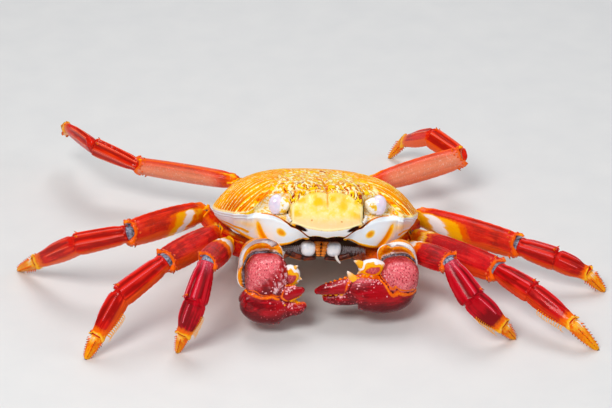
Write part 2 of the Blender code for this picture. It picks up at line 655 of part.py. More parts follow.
def make_claw(side, name):
    """Arm, wrist, palm with its fixed finger, and the moving finger of one claw."""
    pose = CLAW_POSES[name]
    upward = Vector((0.0, 0.25, 1.0))
    title = "claw_" + name

    def palm_solid(extra):
        sizes = grown(PALM_SIZES, extra)
        pieces = toothed_loft(pose["palm"], upward, sizes, CLAW_SIDES, PALM_TEETH)
        return union([*pieces, placed_spike(pose["palm_spike"], extra)])

    make_object(title + "_palm", palm_solid(0.0), CLAW_RED, 0.2)

    def wrist_solid(extra):
        radii = [radius + extra for radius in pose["wrist_radii"]]
        return ellipsoid(Vector(pose["wrist"]), radii, square=WRIST_SQUARENESS)

    lobe = ellipsoid(Vector(pose["lobe"]), pose["lobe_radii"], sides=10, rows=6)
    block = union([wrist_solid(0.0), lobe, *(placed_spike(place) for place in pose["lobe_spikes"])])
    make_object(title + "_wrist", subtract(block, palm_solid(2 * GAP)), CLAW_RED, 0.3)

    inner, joint, start = stub_points(side, CLAW_ROOT)
    before, after = (joint - inner).normalized(), (start - joint).normalized()
    path = [joint - 3.0 * after, start, *(Vector(point) for point in pose["arm"])]
    growth = ARM_GROWTH[name]
    sizes = ARM_SIZES[:2] + tuple((growth * a, growth * b) for a, b in ARM_SIZES[2:])
    arm = union([loft(path, upward, sizes, CLAW_SIDES, 0.9), placed_spike(pose["arm_spike"])])
    mitre(arm, joint, before, after, False, ARM_SIZES[0][0])
    arm = subtract(subtract(arm, wrist_solid(GAP)), palm_solid(2 * GAP))
    make_object(title + "_arm", arm, PALE_WHITE)

    finger = union(toothed_loft(pose["finger"], upward, FINGER_SIZES, 10, FINGER_TEETH))
    finger = subtract(subtract(finger, wrist_solid(GAP)), palm_solid(2 * GAP))
    make_object(title + "_finger", finger, CLAW_RED, 0.2)


def centre_outline():
    """Move every piece so that the origin is on the floor under the outline's middle."""
    pieces = [item for item in bpy.data.objects if item.type == 'MESH']
    corners = [vertex.co for item in pieces for vertex in item.data.vertices]
    middle = [0.5 * (min(c[k] for c in corners) + max(c[k] for c in corners)) for k in range(2)]
    for item in pieces:
        item.data.transform(Matrix.Translation((-middle[0], -middle[1], 0.0)))


make_shell()
make_chest()
make_abdomen()
for body_side, body_side_name in ((1, "left"), (-1, "right")):
    make_eye(body_side, body_side_name)
    make_mouth(body_side, body_side_name)
    make_claw(body_side, body_side_name)
make_legs()
centre_outline()
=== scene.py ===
# %% [markdown]
# # A sally lightfoot crab, life size
# This file dresses the plain solids of a still crab model. Each step starts with a short note
# for somebody who is learning Blender: what the piece is on the real animal, how it could be
# made, and why this way was chosen. The solids are only loaded, never changed.

# %% Load the frame
import math
import random

import bpy
import numpy as np
from mathutils import Matrix, Vector, noise
from mathutils.kdtree import KDTree

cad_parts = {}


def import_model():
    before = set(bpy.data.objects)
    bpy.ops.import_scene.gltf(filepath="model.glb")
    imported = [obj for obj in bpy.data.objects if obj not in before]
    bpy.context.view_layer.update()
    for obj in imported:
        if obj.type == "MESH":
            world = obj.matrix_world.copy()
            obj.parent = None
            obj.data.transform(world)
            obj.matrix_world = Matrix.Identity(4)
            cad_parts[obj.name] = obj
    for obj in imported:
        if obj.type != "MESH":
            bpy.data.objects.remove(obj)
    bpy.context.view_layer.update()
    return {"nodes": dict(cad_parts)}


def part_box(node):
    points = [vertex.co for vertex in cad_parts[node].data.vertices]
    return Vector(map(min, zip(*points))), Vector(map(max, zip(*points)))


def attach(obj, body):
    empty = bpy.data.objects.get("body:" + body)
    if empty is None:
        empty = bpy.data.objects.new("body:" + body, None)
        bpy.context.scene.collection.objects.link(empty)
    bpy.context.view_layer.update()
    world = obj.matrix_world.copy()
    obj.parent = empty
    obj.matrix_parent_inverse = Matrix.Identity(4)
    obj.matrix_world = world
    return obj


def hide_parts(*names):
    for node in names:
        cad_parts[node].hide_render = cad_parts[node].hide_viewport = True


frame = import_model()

print("frame loaded:", len(frame["nodes"]), "solids")

# %% [markdown]
# ## Writing shaders as sums
# A material in Blender is a net of nodes. Clicking them together is fine for a few, but a crab
# needs many masks that are added and multiplied. Here an output socket is wrapped in a small
# class, so that `mask * 0.5 + 0.2` adds the Math nodes by itself.

# %% Shader sums
class Wire:
    """An output socket that can be used in sums."""

    def __init__(self, finish, socket):
        self.finish = finish
        self.socket = socket

    def maths(self, operation, first, second=0.0):
        return self.finish.node("ShaderNodeMath", {"operation": operation}, {0: first, 1: second})

    def __add__(self, other):
        return self.maths("ADD", self, other)

    def __sub__(self, other):
        return self.maths("SUBTRACT", self, other)

    def __mul__(self, other):
        return self.maths("MULTIPLY", self, other)

    def __radd__(self, other):
        return self.maths("ADD", other, self)

    def __rsub__(self, other):
        return self.maths("SUBTRACT", other, self)

    def size(self):
        """The value without its sign."""
        return self.maths("ABSOLUTE", self)

    def fraction(self):
        """The part of the value behind the decimal point."""
        return self.maths("FRACT", self)

    def rise(self, low, high):
        """0 below low, 1 above high and an S-curve between."""
        sockets = {"Value": self, "From Min": low, "From Max": high}
        return self.finish.node("ShaderNodeMapRange", {"interpolation_type": "SMOOTHSTEP"}, sockets)


class Finish:
    """A material whose colour, gloss and bump come from nodes."""

    def __init__(self, name, **fixed):
        self.material = bpy.data.materials.new(name)
        self.material.use_nodes = True
        self.tree = self.material.node_tree
        self.shader = self.tree.nodes["Principled BSDF"]
        for socket, value in fixed.items():
            self.shader.inputs[socket.replace("_", " ")].default_value = value

    def node(self, kind, settings=None, sockets=None, out=0):
        """Any node: its type, its settings, then the values or links of its sockets."""
        made = self.tree.nodes.new(kind)
        for key, value in (settings or {}).items():
            setattr(made, key, value)
        for key, value in (sockets or {}).items():
            self.feed(made.inputs[key], value)
        return Wire(self, made.outputs[out])

    def feed(self, socket, value):
        """Link a wire to a socket, or set its number, vector or web colour."""
        if isinstance(value, Wire):
            self.tree.links.new(value.socket, socket)
        elif isinstance(value, str):
            socket.default_value = (*paint(value), 1.0)
        else:
            socket.default_value = value

    def value(self, name):
        """A number stored at each point of the mesh."""
        return self.node("ShaderNodeAttribute", {"attribute_name": name}, out="Fac")

    def place(self):
        """Each point's own place on its piece, in millimetres."""
        return self.node("ShaderNodeAttribute", {"attribute_name": "place"}, out="Vector")

    def scaled(self, vector, x, y, z):
        """A place stretched along its axes."""
        sockets = {0: vector, 1: (x, y, z)}
        return self.node("ShaderNodeVectorMath", {"operation": "MULTIPLY"}, sockets)

    def mottle(self, vector, scale, detail=3.0, rough=0.55):
        """Cloudy noise from 0 to 1."""
        sockets = {"Vector": vector, "Scale": scale, "Detail": detail, "Roughness": rough}
        return self.node("ShaderNodeTexNoise", None, sockets)

    def grains(self, vector, scale):
        """Distance to the nearest of many scattered points."""
        return self.node("ShaderNodeTexVoronoi", None, {"Vector": vector, "Scale": scale})

    def mix(self, share, first, second):
        """The first colour where the share is 0, the second where it is 1."""
        settings = {"data_type": "RGBA", "clamp_factor": True}
        return self.node("ShaderNodeMix", settings, {0: share, 6: first, 7: second}, out=2)

    def over(self, colour, *layers):
        """A colour under layers, each given as its share and its own colour."""
        for share, top in layers:
            colour = self.mix(share, colour, top)
        return colour

    def bump(self, height, distance, strength, under=None):
        """Tilts the surface by a height; distance is in metres."""
        sockets = {"Height": height, "Distance": distance, "Strength": strength}
        if under is not None:
            sockets["Normal"] = under
        return self.node("ShaderNodeBump", None, sockets)

    def use(self, *results):
        """Feed colour, roughness, normal and, if given, coat to the shader."""
        for name, result in zip(("Base Color", "Roughness", "Normal", "Coat Weight"), results):
            self.feed(self.shader.inputs[name], result)
        return self.material


def paint(code):
    """A web colour such as "ffcc00" as the linear values that Blender wants."""
    parts = [int(code[i:i + 2], 16) / 255.0 for i in (0, 2, 4)]
    return tuple(c / 12.92 if c <= 0.04045 else ((c + 0.055) / 1.055) ** 2.4 for c in parts)


print("shader kit ready")

# %% [markdown]
# ## Building meshes from rings of points
# Nearly every part of a crab is a bent tube, even the shell, which is one very flat tube with
# its axis upright. Sculpting them by hand would be hard to correct. Here each piece is a grid of
# rings worked out with numpy, so that a ridge, a groove or a colour mask is simply a formula of
# the place along and round the tube.

# %% Ring kit
MM = 0.001
SIDES = ((1, "left"), (-1, "right"))


class Form:
    """Gathers points, faces and stored values, and makes one piece of them."""

    def __init__(self, rings=None, values=None):
        self.points = []
        self.faces = []
        self.values = {}
        self.count = 0
        if rings is not None:
            self.rings(rings, values)

    def rings(self, points, values):
        """Add a grid of rings (rows, columns, 3), closed at both ends by a middle point.

        A value that only some of a form's rings have is 0 on the others.
        """
        rows, columns = points.shape[:2]
        numbers = self.count + np.arange(rows * columns).reshape(rows, columns)
        following = np.roll(numbers, -1, axis=1)
        quads = np.stack((numbers[:-1], following[:-1], following[1:], numbers[1:]), axis=-1)
        low = self.count + rows * columns
        high = low + 1
        self.faces += quads.reshape(-1, 4).tolist()
        self.faces += [(b, a, low) for a, b in zip(numbers[0], following[0])]
        self.faces += [(a, b, high) for a, b in zip(numbers[-1], following[-1])]
        middles = (points[:1].mean(axis=1), points[-1:].mean(axis=1))
        self.points.append(np.concatenate((points.reshape(-1, 3), *middles)))
        for name in {**self.values, **values}:
            width = (3,) if name == "place" else ()
            value = np.broadcast_to(values.get(name, 0.0), (rows, columns, *width))
            middles = (value[:1].mean(axis=1), value[-1:].mean(axis=1))
            parts = self.values.setdefault(name, [np.zeros((self.count, *width))])
            parts.append(np.concatenate((value.reshape(-1, *width), *middles)))
        self.count = high + 1

    def piece(self, name, material, slot, *nodes):
        """Make the mesh, let it ride and stand for its solids."""
        mesh = bpy.data.meshes.new(name)
        points = np.concatenate(self.points) * MM
        mesh.from_pydata(points.tolist(), [], self.faces)
        for key, parts in self.values.items():
            stored = np.concatenate(parts)
            kind, field = ("FLOAT_VECTOR", "vector") if key == "place" else ("FLOAT", "value")
            attribute = mesh.attributes.new(key, kind, "POINT")
            attribute.data.foreach_set(field, stored.ravel())
        mesh.shade_smooth()
        mesh.materials.append(material)
        made = bpy.data.objects.new(name, mesh)
        bpy.context.scene.collection.objects.link(made)
        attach(made, "root")
        if nodes:
            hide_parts(*nodes)

    def dress(self, node, material, slot):
        """Make the piece that stands for one solid."""
        self.piece(node + "_dressed", material, slot, node)


def centred(grid):
    """A grid's points measured from their middle."""
    return grid - grid.mean(axis=(0, 1))


def turns(sides):
    """The angle of each column round a tube."""
    return math.tau * np.arange(sides) / sides


def unit(vectors):
    return vectors / np.maximum(np.linalg.norm(vectors, axis=-1, keepdims=True), 1e-9)


def spline(values, spots):
    """A smooth curve through rows of values, read at fractional row numbers."""
    values = np.asarray(values, float)
    last = len(values) - 1
    i = np.clip(np.floor(spots).astype(int), 0, last - 1)
    t = (np.asarray(spots) - i)[:, None]
    a, b = values[np.maximum(i - 1, 0)], values[i]
    c, d = values[i + 1], values[np.minimum(i + 2, last)]
    bend = 2 * a - 5 * b + 4 * c - d
    return 0.5 * (2 * b + (c - a) * t + bend * t ** 2 + (3 * (b - c) + d - a) * t ** 3)


def rise(value, low, high):
    """0 below low, 1 above high and an S-curve between, for arrays."""
    t = np.clip((value - low) / (high - low), 0.0, 1.0)
    return t * t * (3.0 - 2.0 * t)


def fall(value, end, fade):
    """1 for low values, falling to 0 at the end."""
    return rise(end - value, 0.0, fade)


def span(value, start, full, end, fade):
    """Rises from 0 at the start to 1, and falls to 0 again at the end."""
    return rise(value, start, full) * fall(value, end, fade)


def highest(*masks):
    """The largest of several masks at each point."""
    best = masks[0]
    for mask in masks[1:]:
        best = np.maximum(best, mask)
    return best


def hump(value, middle, width):
    """A soft bump of height 1."""
    return np.exp(-((value - middle) / width) ** 2)


def soft_spots(first, second, rows):
    """Soft oval spots, each given as its middle and its width along two coordinates."""
    return highest(*(hump(first, a, wide) * hump(second, b, tall) for a, b, wide, tall in rows))


def signed_power(value, exponent):
    return np.sign(value) * np.abs(value) ** exponent


def tube(path, hint, breadth, thickness, sides, ridge):
    """Rings along a path; the hint says which way the upper edge faces."""
    along = unit(np.gradient(path, axis=0))
    hint = np.broadcast_to(np.asarray(hint, float), along.shape)
    upper = unit(hint - (hint * along).sum(axis=1, keepdims=True) * along)
    across = np.cross(along, upper)
    turn = turns(sides)
    up = 0.5 * breadth[:, None] * signed_power(np.cos(turn), 0.9)[None, :]
    out = 0.5 * thickness[:, None] * signed_power(np.sin(turn), ridge)[None, :]
    upward, outer = upper[:, None, :] * up[..., None], across[:, None, :] * out[..., None]
    return path[:, None, :] + upward + outer


def outward(points):
    """The direction away from the tube at each of its points."""
    around = np.roll(points, -1, axis=1) - np.roll(points, 1, axis=1)
    along = np.gradient(points, axis=0)
    normal = unit(np.cross(around, along))
    away = points - points.mean(axis=1, keepdims=True)
    return normal if (normal * away).sum() > 0 else -normal


def raised(points, height):
    """Rings moved out by a height in millimetres."""
    return points + outward(points) * np.asarray(height)[..., None]


def lumps(points, scale, seed):
    """Even noise from -1 to 1 at each point."""
    flat = points.reshape(-1, 3) * scale + seed
    read = [noise.noise(Vector(place)) for place in flat]
    return np.array(read).reshape(points.shape[:-1])


def egg(centre, radii, sides, rows, square=1.0):
    """Rings of an egg whose axis lies along X."""
    slope = math.pi * (np.arange(rows) + 0.5) / rows
    angle = turns(sides)
    flat = signed_power(np.sin(slope), square)[:, None]
    x = -radii[0] * signed_power(np.cos(slope), square)[:, None]
    y = radii[1] * flat * signed_power(np.cos(angle), square)
    z = radii[2] * flat * signed_power(np.sin(angle), square)
    return np.asarray(centre, float) + np.stack(np.broadcast_arrays(x, y, z), axis=-1)


def spine(form, root, tip, width, values, sides=8, rows=6, bend=(0.0, 0.0, 0.0)):
    """A pointed spine with a rounded tip, added to a form."""
    root, tip, bend = (np.asarray(part, float) for part in (root, tip, bend))
    share = np.linspace(0.0, 1.0, rows)
    path = root + share[:, None] * (tip - root) + (share * (1 - share))[:, None] * 4 * bend
    size = width * (1.0 - share) ** 0.8 + 0.06 * width
    rings = tube(path, (0.31, 0.2, 0.93), size, size, sides, 1.0)
    rising = {"tip": share[:, None], "faint tip": 0.62 * share[:, None]}
    form.rings(rings, {key: rising[value] if isinstance(value, str) else value
                       for key, value in values.items()})


print("ring kit ready")

# %% [markdown]
# ## How the body is held
# The crab stands with its front lifted by 20 degrees and leans 5 degrees to its left. All shell
# parts are drawn level, in the body's own axes, and turned as a whole by one matrix. The solids
# were moved so that the origin is under the middle of the outline; that small shift is read
# back from the solid of one jaw, whose own centre is known.

# %% Body axes
BODY_PITCH = math.radians(20.0)
BODY_ROLL = math.radians(5.0)
BODY_LIFT = 26.0
MOUTH_MIDDLE = -1.0
JAW_CENTRE = (4.9, -27.6, -11.0)
JAW_RADII = (2.8, 2.2, 3.0)

BODY = (Matrix.Translation((0.0, 0.0, BODY_LIFT)) @ Matrix.Rotation(-BODY_PITCH, 4, "X")
        @ Matrix.Rotation(BODY_ROLL, 4, "Y"))
jaw_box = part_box("jaw_left")
jaw_middle = (Vector(jaw_box[0]) + Vector(jaw_box[1])) / (2 * MM)
jaw_drawn = BODY @ Vector((MOUTH_MIDDLE + JAW_CENTRE[0], *JAW_CENTRE[1:]))
SHIFT = np.array((jaw_middle.x - jaw_drawn.x, jaw_middle.y - jaw_drawn.y, 0.0))
TURN = np.array(BODY.to_3x3())
LIFT = np.array(BODY.translation)
BODY_UP = TURN @ (0.0, 0.0, 1.0)


def mirrored(points, side):
    """Points of the left side, or their mirror images for side -1."""
    return np.asarray(points, float) * (side, 1.0, 1.0)


def standing(points):
    """Body coordinates turned into the standing pose."""
    return np.asarray(points, float) @ TURN.T + LIFT + SHIFT


def world(points):
    """World millimetres of the drawing moved to the frame."""
    return np.asarray(points, float) + SHIFT


print("outline shift in mm:", SHIFT.round(3))

# %% [markdown]
# ## Camera, light and floor
# The photograph looks down on the crab by about 28 degrees, from a little to its right, with a
# long lens. The picture is 612 by 408, so the lens follows from the width of the shell in it.
# Wide soft lights from above, front and behind give the long glints of wet shell. The floor is
# a plain pale plane with a faint grain.

# %% Camera
VIEW_AZIMUTH = math.radians(-8.0)
VIEW_ELEVATION = math.radians(28.0)
VIEW_DISTANCE = 1.0
PIXELS_PER_RADIAN = 2560.0
PHOTO_WIDTH, PHOTO_HEIGHT = 612.0, 408.0
AIM_HEIGHT = 0.027
AIM_PIXEL = (315.0, 208.0)
scene = bpy.context.scene
scene.view_settings.view_transform = "Standard"


def place_camera():
    """A long lens aimed at the middle of the body."""
    back = Vector((math.sin(VIEW_AZIMUTH) * math.cos(VIEW_ELEVATION),
                   -math.cos(VIEW_AZIMUTH) * math.cos(VIEW_ELEVATION), math.sin(VIEW_ELEVATION)))
    right = Vector((math.cos(VIEW_AZIMUTH), math.sin(VIEW_AZIMUTH), 0.0))
    data = bpy.data.cameras.new("photo_camera")
    data.sensor_width = 36.0
    data.lens = data.sensor_width * PIXELS_PER_RADIAN / PHOTO_WIDTH
    data.shift_x = (PHOTO_WIDTH / 2 - AIM_PIXEL[0]) / PHOTO_WIDTH
    data.shift_y = (AIM_PIXEL[1] - PHOTO_HEIGHT / 2) / PHOTO_WIDTH
    data.clip_start = 0.01
    camera = bpy.data.objects.new("photo_camera", data)
    turn = Matrix((right, back.cross(right), back)).transposed().to_4x4()
    target = Vector((SHIFT[0] * MM, SHIFT[1] * MM, AIM_HEIGHT))
    camera.matrix_world = Matrix.Translation(target + VIEW_DISTANCE * back) @ turn
    scene.collection.objects.link(camera)
    scene.camera = camera
    return camera


camera = place_camera()
print("lens", round(camera.data.lens, 1), "mm")


# %% Lights
def soft_light(name, place, size, power, colour):
    """A square area light aimed at the crab."""
    data = bpy.data.lights.new(name, "AREA")
    data.size = size
    data.energy = power
    data.color = colour
    lamp = bpy.data.objects.new(name, data)
    aim = Vector((0.0, 0.0, 0.02)) - Vector(place)
    lamp.matrix_world = Matrix.Translation(place) @ aim.to_track_quat("-Z", "Y").to_matrix().to_4x4()
    scene.collection.objects.link(lamp)


soft_light("key_light", (-0.35, -0.55, 0.75), 0.35, 6.0, (1.0, 0.98, 0.95))
soft_light("fill_light", (0.75, -0.45, 0.45), 0.7, 1.7, (0.95, 0.97, 1.0))
soft_light("top_light", (0.05, 0.35, 0.85), 0.5, 3.4, (1.0, 1.0, 1.0))
air = bpy.data.worlds.new("studio_air")
air.use_nodes = True
air.node_tree.nodes["Background"].inputs["Color"].default_value = (0.93, 0.95, 1.0, 1.0)
air.node_tree.nodes["Background"].inputs["Strength"].default_value = 0.26
scene.world = air


# %% Floor
def make_floor():
    """A plain pale studio floor."""
    data = bpy.data.meshes.new("studio_floor")
    data.from_pydata([(-6, -6, 0), (6, -6, 0), (6, 6, 0), (-6, 6, 0)], [], [(0, 1, 2, 3)])
    finish = Finish("floor_finish")
    where = finish.node("ShaderNodeTexCoord", out="Object")
    grain = finish.mottle(where, 60.0, 4.0)
    colour = finish.mix(grain, "d9dadb", "e2e2e1")
    data.materials.append(finish.use(colour, 0.5 + grain * 0.2, finish.bump(grain, 0.0002, 0.3)))
    floor = bpy.data.objects.new("studio_floor", data)
    scene.collection.objects.link(floor)


make_floor()
print("floor made")

# %% [markdown]
# ## The shell
# The carapace is a low dome with a sharp side margin. In front it folds down into a square
# plate between the eyes, with four low lobes on its upper edge, and under the margin it folds
# in to the white cheeks. It is one closed sheet, drawn as columns that run from the top of the
# dome over the margin to the belly, between a few stations that shape the plain solid too.

# %% Shell outline
SHELL_STATIONS = (
    ((0.0, -33.0, 11.2), (0.0, -35.6, 4.2), (0.0, -38.0, -3.0), (0.0, -33.6, -7.6)),
    ((7.0, -32.8, 11.0), (7.0, -35.5, 4.2), (7.0, -37.2, -2.2), (6.5, -33.2, -7.4)),
    ((12.6, -32.2, 10.8), (13.4, -34.6, 4.2), (12.3, -35.9, -0.6), (9.0, -33.0, -6.8)),
    ((14.8, -30.0, 10.6), (14.6, -28.0, 5.0), (14.4, -34.2, -1.2), (13.5, -32.4, -8.8)),
    ((20.5, -27.5, 9.6), (20.5, -25.8, 4.2), (20.0, -32.6, 0.8), (20.0, -30.0, -10.4)),
    ((25.6, -28.4, 6.0), (25.6, -27.2, 3.4), (26.4, -31.0, 1.2), (26.0, -26.5, -9.6)),
    ((29.0, -30.0, 3.0), (29.2, -30.0, 1.8), (29.0, -29.4, 0.8), (29.0, -23.5, -8.2)),
    ((33.8, -24.2, 1.6), (34.0, -24.2, 0.9), (33.6, -23.6, 0.2), (33.0, -17.0, -6.2)),
    ((38.0, -13.0, 0.6), (38.2, -13.0, 0.0), (37.8, -12.8, -0.7), (36.6, -8.0, -4.6)),
    ((40.0, -2.0, 0.2), (40.1, -2.0, -0.4), (39.8, -2.0, -1.0), (38.0, 2.0, -3.6)),
    ((38.6, 10.0, 0.3), (38.7, 10.0, -0.3), (38.4, 10.0, -1.0), (35.6, 12.0, -3.8)),
    ((34.0, 22.0, 0.8), (34.1, 22.0, 0.2), (33.7, 21.8, -0.5), (31.6, 21.0, -4.0)),
    ((26.0, 33.0, 1.4), (26.1, 33.1, 0.8), (25.8, 32.7, 0.1), (24.0, 30.6, -1.8)),
    ((17.0, 38.8, 1.8), (17.0, 39.0, 1.2), (16.8, 38.5, 0.6), (16.0, 36.6, -0.9)),
    ((0.0, 40.4, 2.0), (0.0, 40.6, 1.4), (0.0, 40.1, 0.8), (0.0, 38.4, -0.6)),
)
DOME_HEIGHT = 14.2
DOME_CENTRE_Y = 4.0
DOME_FULLNESS = 4.3
BELLY_LEVEL = -7.2
BELLY_SHRINK = 0.72
BELLY_CENTRE = (0.0, 2.0)
TOOTH_STATIONS = (6, 7)
TOOTH_REACH = 1.6
FRONT_LOBE = 7.0
COLUMN_STEPS = 34
LAST_STATION = len(SHELL_STATIONS) - 1


def shell_columns():
    """Margin, face, brim and lower border round the whole shell, and each column's place."""
    places = np.linspace(0.0, LAST_STATION, LAST_STATION * COLUMN_STEPS + 1)
    mirror = np.array((-1.0, 1.0, 1.0))
    rows = []
    for row in np.array(SHELL_STATIONS).swapaxes(0, 1):
        rows.append(spline([row[1] * mirror, *row, row[-2] * mirror], places + 1.0))
    margin = rows[0]
    lobe = np.abs(np.sin(math.pi * margin[:, 0] / FRONT_LOBE))
    lobe *= (margin[:, 0] < 2 * FRONT_LOBE) * (margin[:, 1] < 0.0)
    margin += lobe[:, None] * np.array((0.0, -0.7, 0.8))
    for station in TOOTH_STATIONS:
        reach = TOOTH_REACH * np.maximum(0.0, 1.0 - np.abs(places - station) / 0.45)
        for row in rows[:3]:
            row += reach[:, None] * np.array((0.5, -0.86, 0.0))
    rows = [np.concatenate((row, row[-2:0:-1] * mirror)) for row in rows]
    return rows, np.concatenate((places, places[-2:0:-1]))


shell_rows, shell_places = shell_columns()
print("shell columns:", len(shell_places))

# %% [markdown]
# ### From columns to a sheet
# The rows are spaced closely where the form changes quickly: at the margin, in the eye socket
# and along the brim. A second value, the level, counts 0 to 1 from the top to the margin, 1 to 3
# down the face, 3 to 4 down the cheek and 4 to 5 under the belly. Masks use it later.

# %% Shell grid
def dome_point(margin, share):
    """A row of the shell's back, at a share of the way to the margin."""
    centre = np.array((0.0, DOME_CENTRE_Y, DOME_HEIGHT))
    row = centre + share * (margin - centre)
    row[:, 2] = margin[:, 2] + (DOME_HEIGHT - margin[:, 2]) * (1.0 - share ** DOME_FULLNESS)
    return row


def shell_grid():
    """All rows of the shell in body coordinates, with the level of each row."""
    fine = 1.0
    margin, face, brim, lower = shell_rows
    rows, levels = [], []
    for share in np.sin(np.linspace(0.012, math.pi / 2, int(170 * fine))):
        rows.append(dome_point(margin, share))
        levels.append(share)
    centre = np.array((*BELLY_CENTRE, BELLY_LEVEL))
    flat = centre + BELLY_SHRINK * (lower * (1, 1, 0) + (0, 0, BELLY_LEVEL) - centre)
    stack = np.stack((margin, face, brim, lower, flat))
    for low, count in ((0, 16), (1, 16), (2, 34), (3, 12)):
        for t in np.linspace(0.0, 1.0, int(count * fine) + 1)[1:]:
            rows.append(stack[low] + t * (stack[low + 1] - stack[low]))
            levels.append(1.0 + low + t)
    for share in np.linspace(0.9, 0.02, int(14 * fine)):
        rows.append(centre + share * (flat - centre))
        levels.append(5.0)
    return np.array(rows), np.array(levels)


shell_points, shell_levels = shell_grid()
print("shell grid:", shell_points.shape[:2])

# %% [markdown]
# ### Rounding the folds
# Straight lines between the rows leave knife edges and a flat cheek. Real shell has a small
# radius everywhere, so the rows are averaged with their neighbours a few times, but only where
# the fold is, and the cheek is blown up a little.

# %% Soft folds
SHELL_FOLDS = ((1.0, 0.05), (2.0, 0.25), (3.0, 0.10), (4.0, 0.10))


def softened(points, levels):
    """Rows averaged with their neighbours around each fold of the shell."""
    near = highest(*(hump(levels, fold, width) for fold, width in SHELL_FOLDS))
    share = 0.5 * near[1:-1, None, None]
    for _ in range(10):
        middle = 0.5 * (points[:-2] + points[2:])
        points[1:-1] += share * (middle - points[1:-1])
    return points


shell_points = softened(shell_points, shell_levels)
cheek = np.where((shell_levels > 3) & (shell_levels < 4), np.sin(math.pi * (shell_levels - 3)), 0.0)
shell_points = raised(shell_points, 0.5 * cheek[:, None] * (shell_places < 9.0)[None, :])
print("folds rounded")

# %% [markdown]
# ### Striae, lobes and seams
# Left and right on the back the shell carries oblique ridges that start at the side margin and
# run back towards the middle, which is cut into low swellings by shallow grooves. The ridges
# are a wave of one slanted coordinate, and the swellings are soft bumps. The same numbers are
# stored on the points, so that the colours later fall exactly on the ridges.

# %% Shell relief
STRIA_PITCH = 2.7
body_x, body_y, body_z = (shell_points[..., k] for k in range(3))
side_x = np.abs(body_x)
on_back = fall(shell_levels, 1.02, 0.03)[:, None] * np.ones_like(body_x)
slant = 0.47 * side_x + 0.88 * body_y
slant += 0.6 * np.sin(0.21 * body_y + 0.9) + 0.5 * np.sin(0.33 * side_x)
stria = slant / STRIA_PITCH
flank_border = np.interp(body_y, (-30.0, -20.0, -8.0, 5.0, 20.0), (22.5, 20.0, 16.5, 12.5, 9.0))
flank = on_back * rise(side_x - flank_border, -1.5, 2.0)
wave = stria - np.floor(stria)
crest = hump(wave, 0.5, 0.20)
cleft = hump(np.minimum(wave, 1.0 - wave), 0.0, 0.12)
rear_lines = on_back * (1.0 - flank) * rise(body_y, 8.0, 20.0)
rear_wave = np.cos(math.tau * (body_y + 0.02 * body_x ** 2) / 3.4)

lobes = 0.7 * hump(side_x, 6.2, 4.6) * hump(body_y, -26.0, 6.0)
lobes += 0.45 * hump(side_x, 11.5, 3.4) * hump(body_y, -24.5, 6.5)
lobes += 0.5 * hump(side_x, 0.0, 4.0) * hump(body_y, -8.0, 9.0)
lobes += 0.4 * hump(side_x, 0.0, 7.0) * hump(body_y, 13.0, 7.0)
lobes -= 0.5 * hump(side_x, 0.0, 0.8) * rise(-body_y, 17.0, 21.0)
lobes -= 0.55 * hump(side_x - flank_border, -1.0, 1.3) * (body_y < 12.0)
lobes += 0.6 * hump(side_x, 27.0, 6.0) * hump(body_y, -12.0, 6.0)
lobes -= 0.3 * hump(body_y, 4.0, 1.4) * (side_x < 13.0)

height = on_back * lobes + flank * (0.20 * crest - 0.34 * cleft) + 0.10 * rear_lines * rear_wave
level = shell_levels[:, None]
place = shell_places[None, :]
front_rim = hump(level, 2.93, 0.09) * fall(place, 2.9, 0.5)
height += 0.35 * front_rim + 0.2 * hump(level, 0.985, 0.02) * fall(place, 3.0, 0.6)
brim_rim = hump(level, 3.02, 0.06) * span(place, 2.6, 3.2, 10.5, 1.0)
border_rim = hump(level, 3.95, 0.06) * span(place, 2.6, 3.2, 11.0, 1.0)
seam_place = 4.95 - 0.35 * (level - 3.0) - 0.55 * np.maximum(0.0, level - 3.0) ** 2.5
seam_line = hump(place, seam_place, 0.13 + 0.10 * np.abs(level - 3.0))
seam_line *= span(level, 3.02, 3.3, 4.0, 0.05)
height += 0.3 * brim_rim + 0.3 * border_rim - 0.35 * seam_line
plate_dent = hump(level, 2.0, 0.8) * hump(place, 0.0, 1.6)
height -= 0.35 * plate_dent

shell_standing = raised(standing(shell_points), height)
print("relief from", round(float(height.min()), 2), "to", round(float(height.max()), 2), "mm")

# %% [markdown]
# ### Which colour goes where
# The colours follow the regions: orange and yellow on the back, cream on the front plate,
# bluish white cheeks with an orange hem, and painted dark brown shade in the deep corners, the
# slots and the mouth under the lip. Each mask is one number from 0 to 1 on every point. Colour
# itself is left to the material.

# %% Shell masks
plate = fall(place, 2.75, 0.25) * span(level, 0.99, 1.06, 3.02, 0.05)
corner = rise(side_x - 7.6 - 1.35 * (10.9 - body_z), -0.5, 0.5) * plate
plate_edge = hump(side_x, 13.1, 0.5) * plate * fall(body_z, 8.0, 3.0)
plate = plate - corner
tip_top = np.interp(place, (0.8, 1.12, 1.55, 2.75, 3.1, 3.6, 4.2, 4.8, 5.6, 6.4, 7.2),
                    (3.66, 3.52, 3.33, 3.02, 2.92, 2.76, 2.62, 2.5, 2.1, 1.6, 1.05))
tip_low = np.interp(place, (0.8, 1.12, 1.55, 2.2), (3.69, 3.84, 3.96, 4.10))
cheeks = rise(level - tip_top, -0.02, 0.03) * rise(tip_low - level, -0.03, 0.03) * rise(place, 0.94, 1.02)
cheeks *= rise(level, 1.0, 1.12)
lip_low = 3.50 - 0.11 * np.sin(math.pi * np.minimum(place, 0.9) / 0.9)
upper_lip = rise(level, 3.0, 3.03) * rise(tip_top - level, -0.01, 0.03) * rise(lip_low - level, 0.0, 0.03)
upper_lip *= fall(place, 2.0, 0.3)
socket = span(place, 2.7, 2.95, 5.2, 0.5)
socket = socket * span(level, 1.0, 1.1, 3.0, 0.1)
